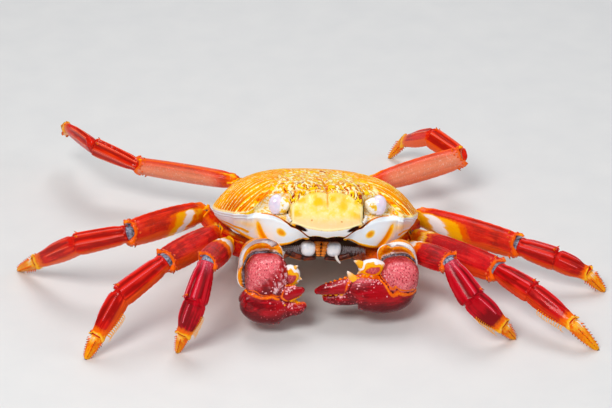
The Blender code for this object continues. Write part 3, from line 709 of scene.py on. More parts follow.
hem = highest(
    0.95 * hump(level, tip_low - 0.06, 0.085) * span(place, 0.85, 1.2, 2.4, 0.3),
    0.95 * hump(level, 3.94, 0.06) * span(place, 1.9, 2.3, 4.9, 0.3),
    0.95 * hump(level, 3.92, 0.10) * span(place, 4.6, 5.0, 12.0, 1.0),
    0.8 * hump(level, 3.62, 0.07) * span(place, 5.5, 6.1, 8.4, 0.8),
    (0.5 + 0.45 * rise(level, 3.05, 3.5)) * seam_line)
cream = hump(level, 3.30, 0.14) * span(place, 4.6, 5.3, 7.4, 1.4)
beside_seam = hump(place, seam_place + 0.12, 0.3) * span(level, 2.9, 3.3, 4.0, 0.1)
cream = np.maximum(cream, beside_seam)
# The crease is an orange-brown border line whose dark core is painted shade in the fold.
crease = hump(level, tip_top + 0.01, 0.075 + 0.02 * rise(place, 2.8, 3.4)) * rise(place, 0.8, 0.9)
crease *= (1.0 - 0.45 * rise(place, 3.0, 3.6)) * fall(place, 4.9, 0.3)
spot_along = (place - 3.5) - 0.9 * (level - 3.42)
spot_across = (level - 3.42) + 0.35 * (place - 3.5)
spot = hump(spot_along, 0.0, 0.31) * hump(spot_across, 0.0, 0.15)
# Painted shade: dark slit beside the eye stalk, slots under the brim and the mouth under the lip.
painted_recess_shade = hump(place, 3.0, 0.07) * span(level, 1.5, 2.1, 2.75, 0.2)
painted_recess_shade = np.maximum(painted_recess_shade, 0.35 * hump(place, 3.2, 0.2) * hump(level, 2.4, 0.4))
slots = 1.5 * hump(place, 1.6, 0.45) * hump(level, 3.14, 0.13) * rise(tip_top - level, 0.0, 0.05)
mouth_shade = rise(level - lip_low, 0.0, 0.04) * fall(place, 2.2, 0.3) * fall(level, 4.6, 0.4)
mouth_shade *= (1.0 - cheeks) * (1.0 - hem)
belly_mask = rise(level, 4.0, 4.1) * np.ones_like(place)
light_rim = highest(
    front_rim, 0.6 * hump(level, 0.99, 0.012) * fall(place, 2.9, 0.4),
    0.8 * hump(level, 1.0, 0.014) * rise(place, 4.6, 5.4),
    hump(place, 2.72, 0.09) * span(level, 1.0, 1.2, 3.1, 0.2))
patch = soft_spots(body_x, body_z, (
    (-3.4, 8.0, 2.4, 2.2), (2.0, 9.0, 1.6, 1.4), (6.4, 7.4, 2.0, 2.4), (-10.4, 8.4, 2.2, 1.6),
    (11.6, 8.2, 1.9, 1.3), (-11.6, 3.2, 2.4, 1.4), (11.8, 2.6, 2.4, 1.6)))
edge_heat = on_back * hump(level, 0.97, 0.09) * hump(body_y, -19.0, 9.0) * rise(side_x, 22.0, 27.0)
orbit_line = hump(place, 4.86, 0.10) * hump(level, 0.90, 0.09)
orbit_line += hump(place, 4.55, 0.5) * hump(level, 0.985, 0.02)
plate_line = hump(body_x, 0.0, 0.35) * plate * rise(body_z, 4.5, 7.5)
dots = plate * soft_spots(body_x, body_z, ((-6.0, 1.1, 0.55, 0.35), (5.4, 0.7, 0.55, 0.35)))
specks = soft_spots(side_x, body_y, (
    (5.0, -30.6, 4.2, 2.94), (12.6, -30.6, 2.6, 1.82), (9.4, -25.6, 2.6, 1.82), (3.4, -24.0, 2.2, 1.54)))
specks = np.maximum(0.9 * corner, specks)
median = hump(body_x, 0.0, 0.42) * rise(-body_y, 15.0, 19.0) * (level < 1.5)

shell_values = {
    "place": shell_points, "stria": stria, "flank": flank, "back": on_back, "plate": plate,
    "cheek": cheeks, "lip": upper_lip, "socket": socket, "hem": hem, "spot": spot,
    "painted_recess_shade": highest(painted_recess_shade, slots, mouth_shade), "belly": belly_mask,
    "rim": np.maximum(light_rim, plate_edge), "speck": specks * np.maximum(on_back, corner),
    "median": median, "crease": crease, "cream": cream, "patch": patch, "dots": dots,
    "edge_heat": edge_heat,
    "orbit_line": orbit_line, "plate_line": plate_line,
    "rear": on_back * rise(body_y, 8.0, 15.0) * (0.75 + 0.25 * rear_wave),
}
print("shell masks:", len(shell_values))

# %% [markdown]
# ### The shell's finish
# Wet crab shell is a hard, smooth, slightly clear layer over strong pigments. The material
# starts from orange, lets the stored masks bring in yellow, red and cream, and breaks every
# edge with noise, so that nothing looks painted. The clear layer is the shader's coat, and fine
# pits come from a bump.

# %% Shell material
# The last colour is the dark brown of painted shade in recesses, creases and joints.
EMBER, RUST, PEACH, SHADE_BROWN = "c42600", "a81c04", "ffd2a0", "1e0805"


def shell_finish():
    """Orange and yellow pigments under a wet clear layer."""
    finish = Finish("shell_finish", Coat_Roughness=0.09, Coat_IOR=1.35, Specular_IOR_Level=0.03)
    value, where = finish.value, finish.place()
    cloud = finish.mottle(where, 0.16, 4.0)
    fine = finish.mottle(where, 0.9, 3.0, 0.6)
    dashes = finish.mottle(finish.scaled(where, 0.62, 0.26, 0.5), 0.9, 2.0, 0.5)
    warped = value("stria") + (cloud - 0.5) * 0.5 + (fine - 0.5) * 0.22
    turn = warped.fraction()
    centre = (turn - 0.5).size()
    line = 1.0 - centre.rise(0.05, 0.14)
    groove = centre.rise(0.30, 0.46)
    side_line = 1.0 - ((turn - 0.76).size()).rise(0.03, 0.07)
    side_groove = 1.0 - ((turn - 0.28).size()).rise(0.03, 0.08)

    colour = finish.mix(cloud.rise(0.35, 0.65), "ffa200", "ffbe00")
    flank_colour = finish.mix(groove * (0.3 + cloud * 0.8), colour, "f87000")
    flank_colour = finish.mix(side_groove * (0.2 + fine * 0.8), flank_colour, "f46c00")
    heat = value("edge_heat")
    flank_colour = finish.over(
        flank_colour,
        (heat * (1.0 - line) * 0.5, "f25000"),
        (heat * (groove * 0.8 + side_groove), "bc1800"),
        # Yellow lines: partly the shell's own stripes, partly painted highlight; the near-white is painted
        # highlight.
        ((line + side_line * 0.8) * (0.5 + fine * 0.9), "ffdc10"),
        (line * fine.rise(0.45, 0.55), "fff3b0"))

    middle = finish.mix(cloud.rise(0.42, 0.58), "ffc000", "ffdc10")
    # Pale cream mottles: partly the shell's own pattern, partly painted small wet glints.
    patches = finish.mottle(finish.scaled(where, 0.9, 0.34, 0.6), 0.7, 2.0, 0.5)
    middle = finish.mix(patches.rise(0.50, 0.55), middle, "fff8c0")
    winding = (finish.mottle(finish.scaled(where, 0.8, 0.3, 0.5), 0.8, 2.0) - 0.5).size()
    middle = finish.over(
        middle,
        ((1.0 - winding.rise(0.01, 0.035)) * (0.5 + dashes), "f88a00"),
        (dashes.rise(0.58, 0.63) * 0.9, "fa9600"),
        (dashes.rise(0.67, 0.71) * 0.9, RUST),
        (value("rear") * 0.85, "ffa800"),
        (value("speck") * (1.0 - winding.rise(0.02, 0.045)) * 1.2, RUST),
        (value("median") * (0.2 + fine * 0.6), EMBER))
    colour = finish.mix(value("flank"), middle, flank_colour)
    colour = finish.mix(value("orbit_line").rise(0.3, 0.8) * (0.4 + fine * 0.8), colour, "d84404")

    flecks = finish.mottle(where, 0.32, 2.0)
    plate_colour = finish.mix(flecks.rise(0.42, 0.62) * 0.6, "ffe98c", "ffdc20")
    plate_colour = finish.mix(fine.rise(0.45, 0.7) * 0.5, plate_colour, "fff4cc")
    patchy = value("patch") + (flecks - 0.5) * 1.3 + (fine - 0.5) * 0.5
    plate_colour = finish.over(
        plate_colour,
        (patchy.rise(0.15, 0.85) * 0.9, "ffcc00"),
        (value("plate_line") * 0.8, "f09a10"))
    low = finish.node("ShaderNodeSeparateXYZ", None, {0: where}, out=2)
    plate_colour = finish.over(
        plate_colour,
        ((4.0 - low).rise(0.0, 5.0) * 0.85, PEACH),
        (value("dots").rise(0.3, 0.7) * 0.8, "e08a2a"))
    colour = finish.mix(value("plate"), colour, plate_colour)

    socket_colour = finish.mix(fine.rise(0.45, 0.6), "fff8e0", "ffce4a")
    colour = finish.mix(value("socket"), colour, socket_colour)
    cheek_colour = finish.mix(cloud.rise(0.45, 0.75) * 0.4, "ecf6ff", "fff8ea")
    cheek_colour = finish.mix(value("cream") * (0.4 + cloud), cheek_colour, "ffdf8a")
    colour = finish.over(
        colour,
        (value("cheek"), cheek_colour),
        (value("lip"), "f4f4f6"))
    hem = value("hem") + (fine - 0.5) * 0.3
    colour = finish.over(
        colour,
        (hem.rise(0.12, 0.4), "ffc81e"),
        (hem.rise(0.45, 0.9), "f89200"))
    spot = value("spot") + (fine - 0.5) * 0.2
    colour = finish.over(
        colour,
        (spot.rise(0.1, 0.45), "ffd040"),
        (spot.rise(0.4, 0.8), "f79a00"),
        # Crease: orange-brown border, dark core of painted shade.
        (value("crease").rise(0.2, 0.5), "e8860e"),
        (value("crease").rise(0.5, 0.75), "b84a0a"),
        ((value("crease") + (fine - 0.5) * 0.7).rise(0.55, 0.85), SHADE_BROWN),
        ((value("rim") + (fine - 0.5) * 0.5).rise(0.3, 0.75) * 0.85, "fff0b4"),
        (value("belly"), "f2e6d4"),
        # Dark brown painted shade in the slit, the slots and the mouth.
        (value("painted_recess_shade").rise(0.25, 0.7), finish.mix(fine.rise(0.4, 0.7), SHADE_BROWN, "3a1208")))

    pits = finish.grains(where, 2.6)
    grain = finish.mottle(where, 3.2, 2.0)
    rough = 0.38 + fine * 0.16 + value("flank") * groove * 0.12 + value("painted_recess_shade") * 0.4
    normal = finish.bump(pits, 0.00006, 0.5)
    normal = finish.bump(grain + (groove * -2.0 + line) * value("flank"), 0.00009, 0.6, normal)
    coat = 0.3 - value("painted_recess_shade") * 0.28 - value("back") * 0.22
    return finish.use(colour, rough, normal, coat)


SHELL_FINISH = shell_finish()
shell = Form(shell_standing, shell_values)
shell.dress("carapace", SHELL_FINISH, "shell_dorsal")
print("shell faces:", len(shell.faces))

# %% [markdown]
# ## Limb joints
# Each limb starts at a stub under the shell. Where a hip meets its stub is given in body axes,
# the knees and toes in world axes, because the toes stand on the level floor. The numbers are
# the same as in the solids, so every dressed piece lies over its own solid.

# %% Limb roots
LEG_ROOTS = (((26.5, -13.0, -15.5), (35.5, -16.0, -12.0)),
             ((28.0, -3.0, -14.5), (39.0, -4.0, -9.5)),
             ((31.5, 9.5, -14.8), (43.5, 10.0, -3.0)),
             ((24.0, 37.0, -7.4), (27.8, 39.6, 5.8)))
CLAW_ROOT = ((18.5, -20.0, -14.4), (21.5, -24.0, -14.4))
STUB_INNER_LEVEL = -12.6
STUB_INNER_RISE = 0.05


def stub_points(side, root):
    """The inner end of a limb's first piece, its outer joint and the one after."""
    joint, start = mirrored(root, side)
    level = STUB_INNER_LEVEL + STUB_INNER_RISE * max(0.0, joint[1])
    inner = np.array((0.35 * joint[0], 0.6 * joint[1], level))
    return [standing(point) for point in (inner, joint, start)]


print("limb roots:", len(LEG_ROOTS) + 1, "on each side")

# %% [markdown]
# ## Finish of claws and legs
# Claws and legs share one recipe: red under a wet clear layer, fine streaks along the limb,
# gold rims, cream patches and grey soft skin in the joints. Pink patches are partly the claws'
# own pink and partly painted sheen, the peach on the rear thighs is a painted reflection, pale
# glints and lighter ridge tops are painted highlight, and darker grooves, joint gaps and cups
# are painted shade. Which of them shows where is stored on the points, and one of these
# numbers, crimson, runs from 0 on the salmon rear legs to 1 in front. So one function makes
# both finishes.

# %% Limb material
def limb_finish(name, colours, grain_size, grain_height, gloss, coat):
    """Red shell with gold, cream and skin laid over it by masks, and painted sheen, glints and shade."""
    finish = Finish(name, Coat_Roughness=0.06, Coat_IOR=1.4, Specular_IOR_Level=0.05)
    value, where = finish.value, finish.place()
    cloud = finish.mottle(where, 0.12, 3.0)
    fine = finish.mottle(where, 0.8, 3.0, 0.6)
    grit = finish.mottle(finish.scaled(where, 1.6, 1.0, 1.0), 1.3, 2.0, 0.6)
    streaks = finish.mottle(finish.scaled(where, 0.10, 1.3, 1.3), 0.9, 3.0, 0.6)
    cool, hot, cool_light, hot_light, cool_deep, hot_deep, pink_and_sheen_colour, peach_sheen_colour = colours

    red = finish.mix(value("crimson"), cool, hot)
    lighter = finish.mix(value("crimson"), cool_light, hot_light)
    deeper = finish.mix(value("crimson"), cool_deep, hot_deep)
    colour = finish.mix(streaks.rise(0.50, 0.72) * 0.55, red, lighter)
    colour = finish.mix((cloud * 0.6 + streaks * 0.4).rise(0.54, 0.40) * 0.85, colour, deeper)
    # Painted highlight and shade: ridge tops turn lighter and pink, grooves darker.
    ridge = value("ridge") + (streaks - 0.5) * 0.4
    colour = finish.over(
        colour,
        (ridge.rise(0.2, 0.7) * 0.7, lighter),
        (ridge.rise(0.6, 1.0) * 0.35, pink_and_sheen_colour),
        (ridge.rise(-0.05, -0.5) * 0.9, deeper))
    under = value("under") + (streaks - 0.5) * 0.6
    colour = finish.mix(under.rise(0.35, 0.9) * (1.0 - value("crimson") * 0.6), colour, "f45a00")
    # Pink patches: partly the claws' own pink, partly painted sheen; peach on the rear thighs is a painted
    # reflection.
    pink_and_sheen = value("pink_and_sheen") * (0.7 + streaks * 0.5)
    colour = finish.over(
        colour,
        (pink_and_sheen, finish.mix(value("crimson") * 3.0 - 0.5, peach_sheen_colour, pink_and_sheen_colour)),
        (value("pink_and_sheen") * value("crimson") * grit.rise(0.52, 0.62) * 0.6, red),
        (value("pink_and_sheen") * value("crimson") * grit.rise(0.62, 0.67) * 1.2, deeper),
        (value("pink_and_sheen") * grit.rise(0.42, 0.32) * 0.6, "fbd6cc"),
        # Painted pale glints.
        (value("painted_glint") * (0.5 + fine), "ffd4dc"))
    gold = value("gold") + (fine - 0.5) * 0.6
    colour = finish.over(
        colour,
        (gold.rise(0.22, 0.6), "f46400"),
        (gold.rise(0.65, 1.0), "ffb400"))
    pale = value("pale") + ((streaks - 0.5) * 0.7 + (fine - 0.5) * 0.3) * value("pale").rise(0.0, 0.3)
    colour = finish.over(
        colour,
        (pale.rise(0.15, 0.4), "ffb52c"),
        (pale.rise(0.4, 0.7), "f8f2f4"))
    skin_colour = finish.mix(fine.rise(0.35, 0.65), "54566a", "a9aec4")
    # Grey soft skin, brown tips, and dark brown painted shade in the joint gaps and cups.
    colour = finish.over(
        colour,
        (value("skin").rise(0.35, 0.65), skin_colour),
        (value("tip").rise(0.45, 0.85), "7a3a10"),
        (value("painted_shade").rise(0.2, 0.9) * 0.9, SHADE_BROWN))

    grains = finish.grains(where, grain_size)
    rough = gloss + fine * 0.18 + value("skin") * 0.2 + value("painted_shade") * 0.4
    height = (1.0 - grains) * grain_height + streaks * 0.4 + grit * value("pink_and_sheen") * 1.2
    normal = finish.bump(height, 0.00012, 0.7)
    normal = finish.bump(finish.mottle(where, 3.5, 2.0), 0.00003, 0.6, normal)
    return finish.use(colour, rough, normal, coat - value("skin") * 0.2)


# Cool and hot reds, lighter and deeper tones, then the pink of pink patches and painted sheen, and the peach
# of painted sheen.
LEG_COLOURS = ("e41c00", "c00014", "fa5000", "e00a30", "b01400", "780008", "ec5a74", "ffa078")
CLAW_COLOURS = ("b80010", "a8000e", "dc2034", "c8142c", "84000a", "60000a", "f4727c", "f47078")
LEG_FINISH = limb_finish("leg_finish", LEG_COLOURS, 1.6, 0.5, 0.26, 0.26)
CLAW_FINISH = limb_finish("claw_finish", CLAW_COLOURS, 1.3, 1.6, 0.2, 0.6)
print("limb finishes: leg, claw")

# %% [markdown]
# ## Walking legs
# A leg of this crab is a flat blade with sharp upper and lower edges. From the body outwards
# come a short hip, a broad thigh, a narrow knee piece with long ridges, a shin and a toe with
# rows of thorns. Each piece is one tube. It starts as a rounded head that sits in the piece
# before it, swells into a collar, and ends in a cup that is folded back into itself. The cup's
# rim is pushed out at the two hinge points and drawn back on top, which leaves a notch.

# %% Leg forms
# The way a leg's upper edge faces, then the outer ends of thigh, knee piece, shin and toe.
LEG_POSES = {
    "left_1": ((0.6, 0.3, 0.7), (43.1, -54.0, 29.0), (50.2, -64.8, 19.0), (61.9, -66.1, 7.0),
               (67.1, -64.3, 0.0)),
    "left_2": ((0.6, 0.3, 0.7), (64.2, -43.5, 18.0), (74.2, -58.5, 16.5), (86.9, -73.0, 10.0),
               (96.2, -76.5, 0.0)),
    "left_3": ((0.3, 0.0, 0.9), (76.8, -22.0, 16.0), (90.0, -30.0, 13.5), (102.0, -33.0, 8.0),
               (109.0, -34.0, 0.0)),
    "left_4": ((0.5, 0.2, 0.8), (67.6, 47.0, 21.0), (57.5, 63.0, 23.0), (50.2, 85.5, 10.5),
               (44.8, 91.1, 0.0)),
    "right_1": ((-0.6, 0.3, 0.7), (-47.4, -49.8, 34.0), (-52.9, -59.6, 23.0), (-57.5, -58.0, 8.5),
                (-60.0, -56.5, 0.0)),
    "right_2": ((-0.6, 0.3, 0.7), (-62.2, -40.3, 30.0), (-80.0, -50.0, 22.0), (-89.3, -54.3, 8.0),
                (-94.0, -56.5, 0.0)),
    "right_3": ((-0.3, 0.0, 0.9), (-74.2, -16.6, 30.0), (-94.0, -11.6, 24.0), (-109.0, 5.0, 8.5),
                (-116.4, 14.9, 0.0)),
    "right_4": ((-0.3, -0.3, 0.9), (-64.4, 59.3, 20.0), (-82.0, 67.2, 26.0), (-91.8, 92.5, 23.0),
                (-92.4, 103.0, 15.0)),
}
# Each piece as rows of its place from 0 to 1, its breadth and its thickness there.
LEG_FORMS = {
    "hip": ((0.0, 7.4, 7.0), (0.5, 7.4, 7.0), (1.0, 7.8, 6.4)),
    "thigh": ((0.0, 8.0, 6.2), (0.14, 9.2, 6.6), (0.4, 10.6, 6.4), (0.7, 10.8, 6.0), (0.93, 10.0, 5.8),
              (1.0, 8.8, 5.6)),
    "knee": ((0.0, 6.8, 5.0), (0.25, 8.0, 5.6), (0.6, 8.8, 5.6), (0.9, 9.2, 5.4), (1.0, 8.6, 5.2)),
    "shin": ((0.0, 8.0, 4.9), (0.15, 8.4, 5.0), (0.45, 8.2, 4.8), (0.85, 6.6, 4.2), (1.0, 5.8, 4.0)),
    "toe": ((0.0, 5.0, 3.8), (0.12, 5.4, 3.9), (0.3, 4.8, 3.5), (0.5, 4.2, 3.1), (0.7, 3.3, 2.5),
            (0.85, 2.5, 1.9), (0.95, 1.8, 1.4), (1.0, 1.3, 1.1)),
}
LEG_SCALES = (0.84, 0.96, 1.0, 0.92)
LEG_CRIMSON = {"left": (1.0, 0.7, 0.48, 0.1), "right": (1.0, 0.52, 0.3, 0.08)}
LEG_SIDES = 56
NECK_SHARE = 0.86
CUP_DEPTH = 2.4
UNROLL_RADIUS = 4.0
# In millimetres: the gap under a toe, and the height below which a thorn is left out.
FLOOR_GAP, THORN_FLOOR = 0.02, 0.5
# Where the cream band of each thigh lies, its width and its strength, front leg to rear leg.
THIGH_BANDS = {"left": ((0.14, 0.08, 1.2), (0.14, 0.05, 0.5), (0.21, 0.095, 1.05), (0.05, 0.03, 0.0)),
               "right": ((0.16, 0.09, 1.2), (0.10, 0.05, 0.0), (0.27, 0.07, 1.0), (0.05, 0.03, 0.0))}
FRONT = unit(np.array((0.0, -0.88, 0.48)))
# Three legs have a broader blade below the thigh: how much, and where along each piece.
BROAD_BLADES = {"left_1": 0.3, "right_1": 0.2, "right_4": 0.35}
BLADE_SWELL = {"knee": ((0.0, 0.5, 1.0), (0.0, 0.8, 1.0)),
               "shin": ((0.0, 0.45, 0.9, 1.0), (1.0, 1.1, 0.9, 0.5))}
print("leg forms:", len(LEG_FORMS), "pieces a leg")


# %% Leg rings
# Long ridges as (turn from the upper edge, height, width) for each kind of piece.
RIDGES = {
    "hip": ((0.0, 0.2, 0.3), (0.9, 0.2, 0.2), (-0.9, 0.2, 0.2)),
    "thigh": ((0.0, 0.35, 0.2), (0.42, -0.15, 0.14), (-0.42, -0.15, 0.14), (0.75, 0.22, 0.13),
              (-0.75, 0.22, 0.13), (math.pi, 0.3, 0.3)),
    "knee": ((0.38, 0.5, 0.14), (-0.38, 0.5, 0.14), (0.0, -0.4, 0.2), (0.78, -0.4, 0.14),
             (-0.78, -0.4, 0.14), (1.2, 0.5, 0.15), (-1.2, 0.5, 0.15), (1.65, -0.25, 0.16),
             (-1.65, -0.25, 0.16), (math.pi, 0.2, 0.3)),
    "shin": ((0.38, 0.42, 0.14), (-0.38, 0.42, 0.14), (0.0, -0.3, 0.2), (0.78, -0.3, 0.14),
             (-0.78, -0.3, 0.14), (1.2, 0.36, 0.15), (-1.2, 0.36, 0.15), (math.pi, 0.2, 0.3)),
    "toe": ((0.0, 0.15, 0.3), (1.57, 0.15, 0.3), (-1.57, 0.15, 0.3), (math.pi, 0.15, 0.3)),
}


def turn_gap(turn, middle):
    """The difference of two angles, from -pi to pi."""
    return (turn - middle + math.pi) % math.tau - math.pi


def around(turn, middle, width):
    """A soft bump of height 1 at one place round the tube."""
    return hump(turn_gap(turn, middle), 0.0, width)


def leg_rings(part, start, end, hint, form, scale, blade):
    """The rings of one leg piece, with the along and round values of each point."""
    form = np.array(form)
    length = np.linalg.norm(end - start)
    along = (end - start) / length
    head = 0.36 * scale * form[0, 1]
    low = np.linspace(-1.0, 0.0, 10, endpoint=False)
    body = np.linspace(0.0, 1.0, 56)
    cup = np.linspace(0.0, 1.0, 9)[1:] if part != "toe" else np.zeros(0)
    spots = np.interp(body, form[:, 0], np.arange(len(form)))
    sizes = spline(form[:, 1:], spots) * scale
    collar = np.ones(len(body))
    if part in BLADE_SWELL:
        sizes[:, 0] *= 1.0 + blade * np.interp(body, *BLADE_SWELL[part])
    if part != "shin":
        collar += 0.05 * hump(body * length, 1.0, 0.7) - 0.06 * hump(body * length, 2.6, 1.3)
    if part not in ("knee", "toe"):
        left = (1.0 - body) * length
        collar += 0.07 * hump(left, 0.3, 0.9) - 0.05 * hump(left, 2.6, 1.3)
    sizes *= collar[:, None]
    round_head = np.sqrt(np.maximum(0.0, 1.0 - low ** 2))[:, None] * sizes[0] * NECK_SHARE
    inside = sizes[-1] * (NECK_SHARE - 0.30 * cup)[:, None]
    sizes = np.concatenate((round_head, sizes, inside))
    reach = np.concatenate((low * head, body * length, length - 0.2 - CUP_DEPTH * cup))
    path = start + reach[:, None] * along
    rings = tube(path, hint, sizes[:, 0], sizes[:, 1], LEG_SIDES, 1.15)
    t = np.concatenate((low * head / length, body, np.ones(len(cup))))
    t = np.broadcast_to(t[:, None], rings.shape[:2])
    inner = np.concatenate((np.zeros(len(low) + len(body)), np.ones(len(cup))))[:, None]
    neck = np.concatenate((-low, np.zeros(len(body) + len(cup))))[:, None]
    turn = np.broadcast_to(turns(LEG_SIDES), rings.shape[:2])
    upper = unit(hint - (hint @ along) * along)
    facing = math.atan2(FRONT @ np.cross(along, upper), FRONT @ upper)
    return rings, t, turn, inner, neck, along, length, facing


def add_ridges(part, rings, t, turn, inner, scale):
    """Long ridges that fade towards the ends of the piece, and their height from -1 to 1."""
    fade = span(t, 0.0, 0.08, 1.0, 0.05) * (1.0 - inner)
    if part == "shin":
        fade = fade * fall(t, 0.85, 0.4)
    height = np.zeros(t.shape)
    for middle, tall, wide in RIDGES[part]:
        height += tall * around(turn, middle, wide)
    if part in ("thigh", "knee", "shin"):
        rough_edge = np.abs(np.sin(t * (34.0 if part == "thigh" else 24.0)))
        edges = around(turn, 0.0, 0.3) + around(turn, math.pi, 0.3)
        height += 0.12 * rough_edge * edges
    return raised(rings, scale * height * fade), 2.0 * height * fade


print("ridged pieces:", ", ".join(RIDGES))

# %% [markdown]
# ### Notches, colours and thorns of a leg
# The notch moves the last rings along the leg: forward beside the hinges, back on top. The
# colour masks are written in the same terms, along and round the piece. Thorns are separate
# little tubes whose roots are sunk in the shell.

# %% Leg details
def notch(part, rings, t, turn, inner, along, scale, facing):
    """Draw the rim of a cup back on its front face, and push its two hinge knobs forward."""
    if part == "toe":
        return rings
    deep = {"hip": 0.8, "thigh": 1.3, "knee": 0.3, "shin": 0.6}[part]
    push = {"hip": 0.6, "thigh": 1.1, "knee": 0.2, "shin": 0.7}[part]
    gap = np.abs(turn_gap(turn, 0.8 * facing))
    at_end = np.maximum(rise(t, 0.80, 1.0), inner)
    knobs = hump(gap, 1.25, 0.34)
    move = push * knobs - deep * fall(gap, 0.85, 0.35)
    knob = 0.9 * push * hump(t, 0.975, 0.03) * knobs * (1.0 - inner)
    return raised(rings, scale * knob) + (scale * move * at_end)[..., None] * along


def leg_masks(part, side_name, number, t, turn, inner, neck, crimson, facing):
    """Gold rims, cream patches, soft skin, the orange underside, painted sheen and painted shade."""
    upper = np.cos(turn)
    side_face = np.abs(turn_gap(turn, 0.0))
    front = around(turn, facing, 0.9)
    rim = hump(t, 1.0, 0.045) * (1.0 - inner)
    strength = {"hip": 0.6, "thigh": 0.6, "knee": 0.0, "shin": 0.6, "toe": 0.0}[part]
    gold = strength * rim + {"hip": 0.4, "thigh": 0.5}.get(part, 0.0) * hump(t, 0.0, 0.03)
    soft = (1.0 if number < 4 else 0.3) if part in ("hip", "thigh") else 0.0
    soft_neck = 1.0 if number < {"knee": 4, "thigh": 3}.get(part, 0) else 0.0
    skin = np.maximum(soft * inner, soft_neck * rise(neck, 0.03, 0.12))
    pale, pink_and_sheen = np.zeros(t.shape), np.zeros(t.shape)
    under = rise(-upper, -0.1, 0.7) * (1.0 - 0.7 * crimson ** 2)
    if part == "hip":
        gold += 0.3 + 0.3 * hump(side_face, 0.9, 0.3)
        pale = 0.5 * hump(t, 0.55, 0.12) * hump(side_face, 0.8, 0.5)
    if part == "thigh":
        crimson = crimson * ((0.7 if number < 3 else 0.45) + 0.15 * front)
        start, wide, strong = THIGH_BANDS[side_name][number - 1]
        middle = start - 0.11 * upper * (number == 3)
        middle = middle + 0.012 * np.sin(5.0 * turn) + 0.01 * np.sin(11.0 * turn)
        low_side = fall(upper, 0.8, 0.35) if number == 3 else 1.0
        pale = strong * hump(t, middle, wide) * low_side
        fringe = hump(t, middle + 1.6 * wide, 1.2 * wide) + hump(t, middle - 1.6 * wide, 1.2 * wide)
        gold += 0.62 * fringe * low_side * strong + 0.4 * hump(t, 0.06, 0.10)
        fade = rise(t, middle, middle + wide) * (1.0 - rise(t, 0.3, 0.75))
        gold += 0.6 * fade * low_side * (number == 3)
        # Painted reflection: peach sheen on the flat sides of the rear thighs.
        pink_and_sheen = (0.85 if number == 4 else 0.06) * hump(side_face, 1.35, 0.9) * rise(t, 0.05, 0.25)
        gold += (0.5 if number == 4 else 0.22) * hump(side_face, 0.0, 0.22)
        gold += (0.5 if number == 4 else 0.2) * hump(side_face, math.pi, 0.3)
    if part == "knee":
        # Painted sheen: a pink patch on the front of the front knees.
        pink_and_sheen = 0.6 * hump(t, 0.04, 0.16) * front * crimson * (crimson > 0.9)
    if part == "shin":
        gold += 0.9 * rise(t, 0.62, 0.95) * (1.0 - inner) * (0.75 + 0.25 * side_face / math.pi)
        pale = pale + 0.34 * rise(t, 0.90, 0.95) * (1.0 - inner)
    if part == "toe":
        gold = 0.72 + 0.2 * t
        pale = 0.62 * hump(t, 0.12, 0.24) * (0.6 + 0.4 * upper)
    tip = rise(t, 0.93, 1.0) * (part == "toe") * 0.9
    # Painted shade inside the cup and round the head that sits in the piece before.
    painted_shade = inner * {"hip": 0.5, "thigh": 0.5, "knee": 0.3, "shin": 0.3, "toe": 0.0}[part]
    painted_shade = painted_shade + soft_neck * (hump(neck, 0.03, 0.05) * (t <= 0.0) + 0.6 * rise(neck, 0.55, 0.8))
    return {"gold": gold, "pale": pale, "pink_and_sheen": pink_and_sheen, "skin": skin, "under": under, "tip": tip,
            "painted_shade": painted_shade, "crimson": crimson * np.ones(t.shape)}


def edge_spot(rings, t, where, angle):
    """A point of the tube's surface and its outward direction."""
    row = int(np.argmin(np.abs(t[:, 0] - where)))
    column = int(round(angle / math.tau * rings.shape[1])) % rings.shape[1]
    point = rings[row, column]
    return point, unit(point - rings[row].mean(axis=0))


# Each thorn's place along and round the piece, its width, its height and its lean outwards.
THORNS = {
    "thigh": ((0.90, 0.35, 1.2, 1.0, 1.0), (0.93, 2.7, 1.4, 1.3, 1.2), (0.93, -2.7, 1.4, 1.3, 1.2)),
    "knee": ((0.90, 0.42, 1.1, 0.9, 1.0), (0.90, -0.42, 1.1, 0.9, 1.0)),
    "shin": ((0.90, 0.5, 1.0, 0.8, 1.1), (0.90, -0.5, 1.0, 0.8, 1.1)),
}
GRAIN_ROWS = {"knee": np.linspace(0.05, 0.96, 26), "shin": np.linspace(0.05, 0.6, 18)}


def add_thorns(form, part, rings, t, along, scale, values):
    """The few end thorns of a piece, or the thorn rows of a toe."""
    rows = list(THORNS.get(part, ()))
    if part == "toe":
        for angle in (0.5, -0.5, 1.57, -1.57, 2.6, -2.6):
            for where in np.linspace(0.14, 0.86, 8):
                size = 0.95 - 0.45 * where
                rows.append((where + 0.02 * math.sin(9 * angle), angle, size, 1.15 * size, 1.1 * size))
    for where, angle, width, tall, lean in rows:
        point, away = edge_spot(rings, t, where, angle)
        root = point - 0.35 * width * away
        tip = point + scale * (tall * away + lean * along)
        if min(tip[2], root[2]) < THORN_FLOOR:
            continue
        spine(form, root, tip, 0.8 * width * scale, values, bend=0.12 * tall * away)


def add_grains(form, part, rings, t, values):
    """Knobby grains round the end of a thigh, and rows of tiny ones on the ridges further out."""
    rows = []
    if part == "thigh":
        rows = [(0.955 + 0.02 * math.sin(5.0 * angle), angle, 0.5) for angle in turns(20)]
    for middle in (0.38, -0.38, 1.2, -1.2):
        for where in GRAIN_ROWS.get(part, ()):
            rows.append((where, middle, 0.17))
    for where, angle, size in rows:
        point, away = edge_spot(rings, t, where, angle % math.tau)
        centre = point - 0.15 * size * away
        form.rings(egg(centre, (size, size, size), sides=7, rows=4), values)


print("thorn kit ready")


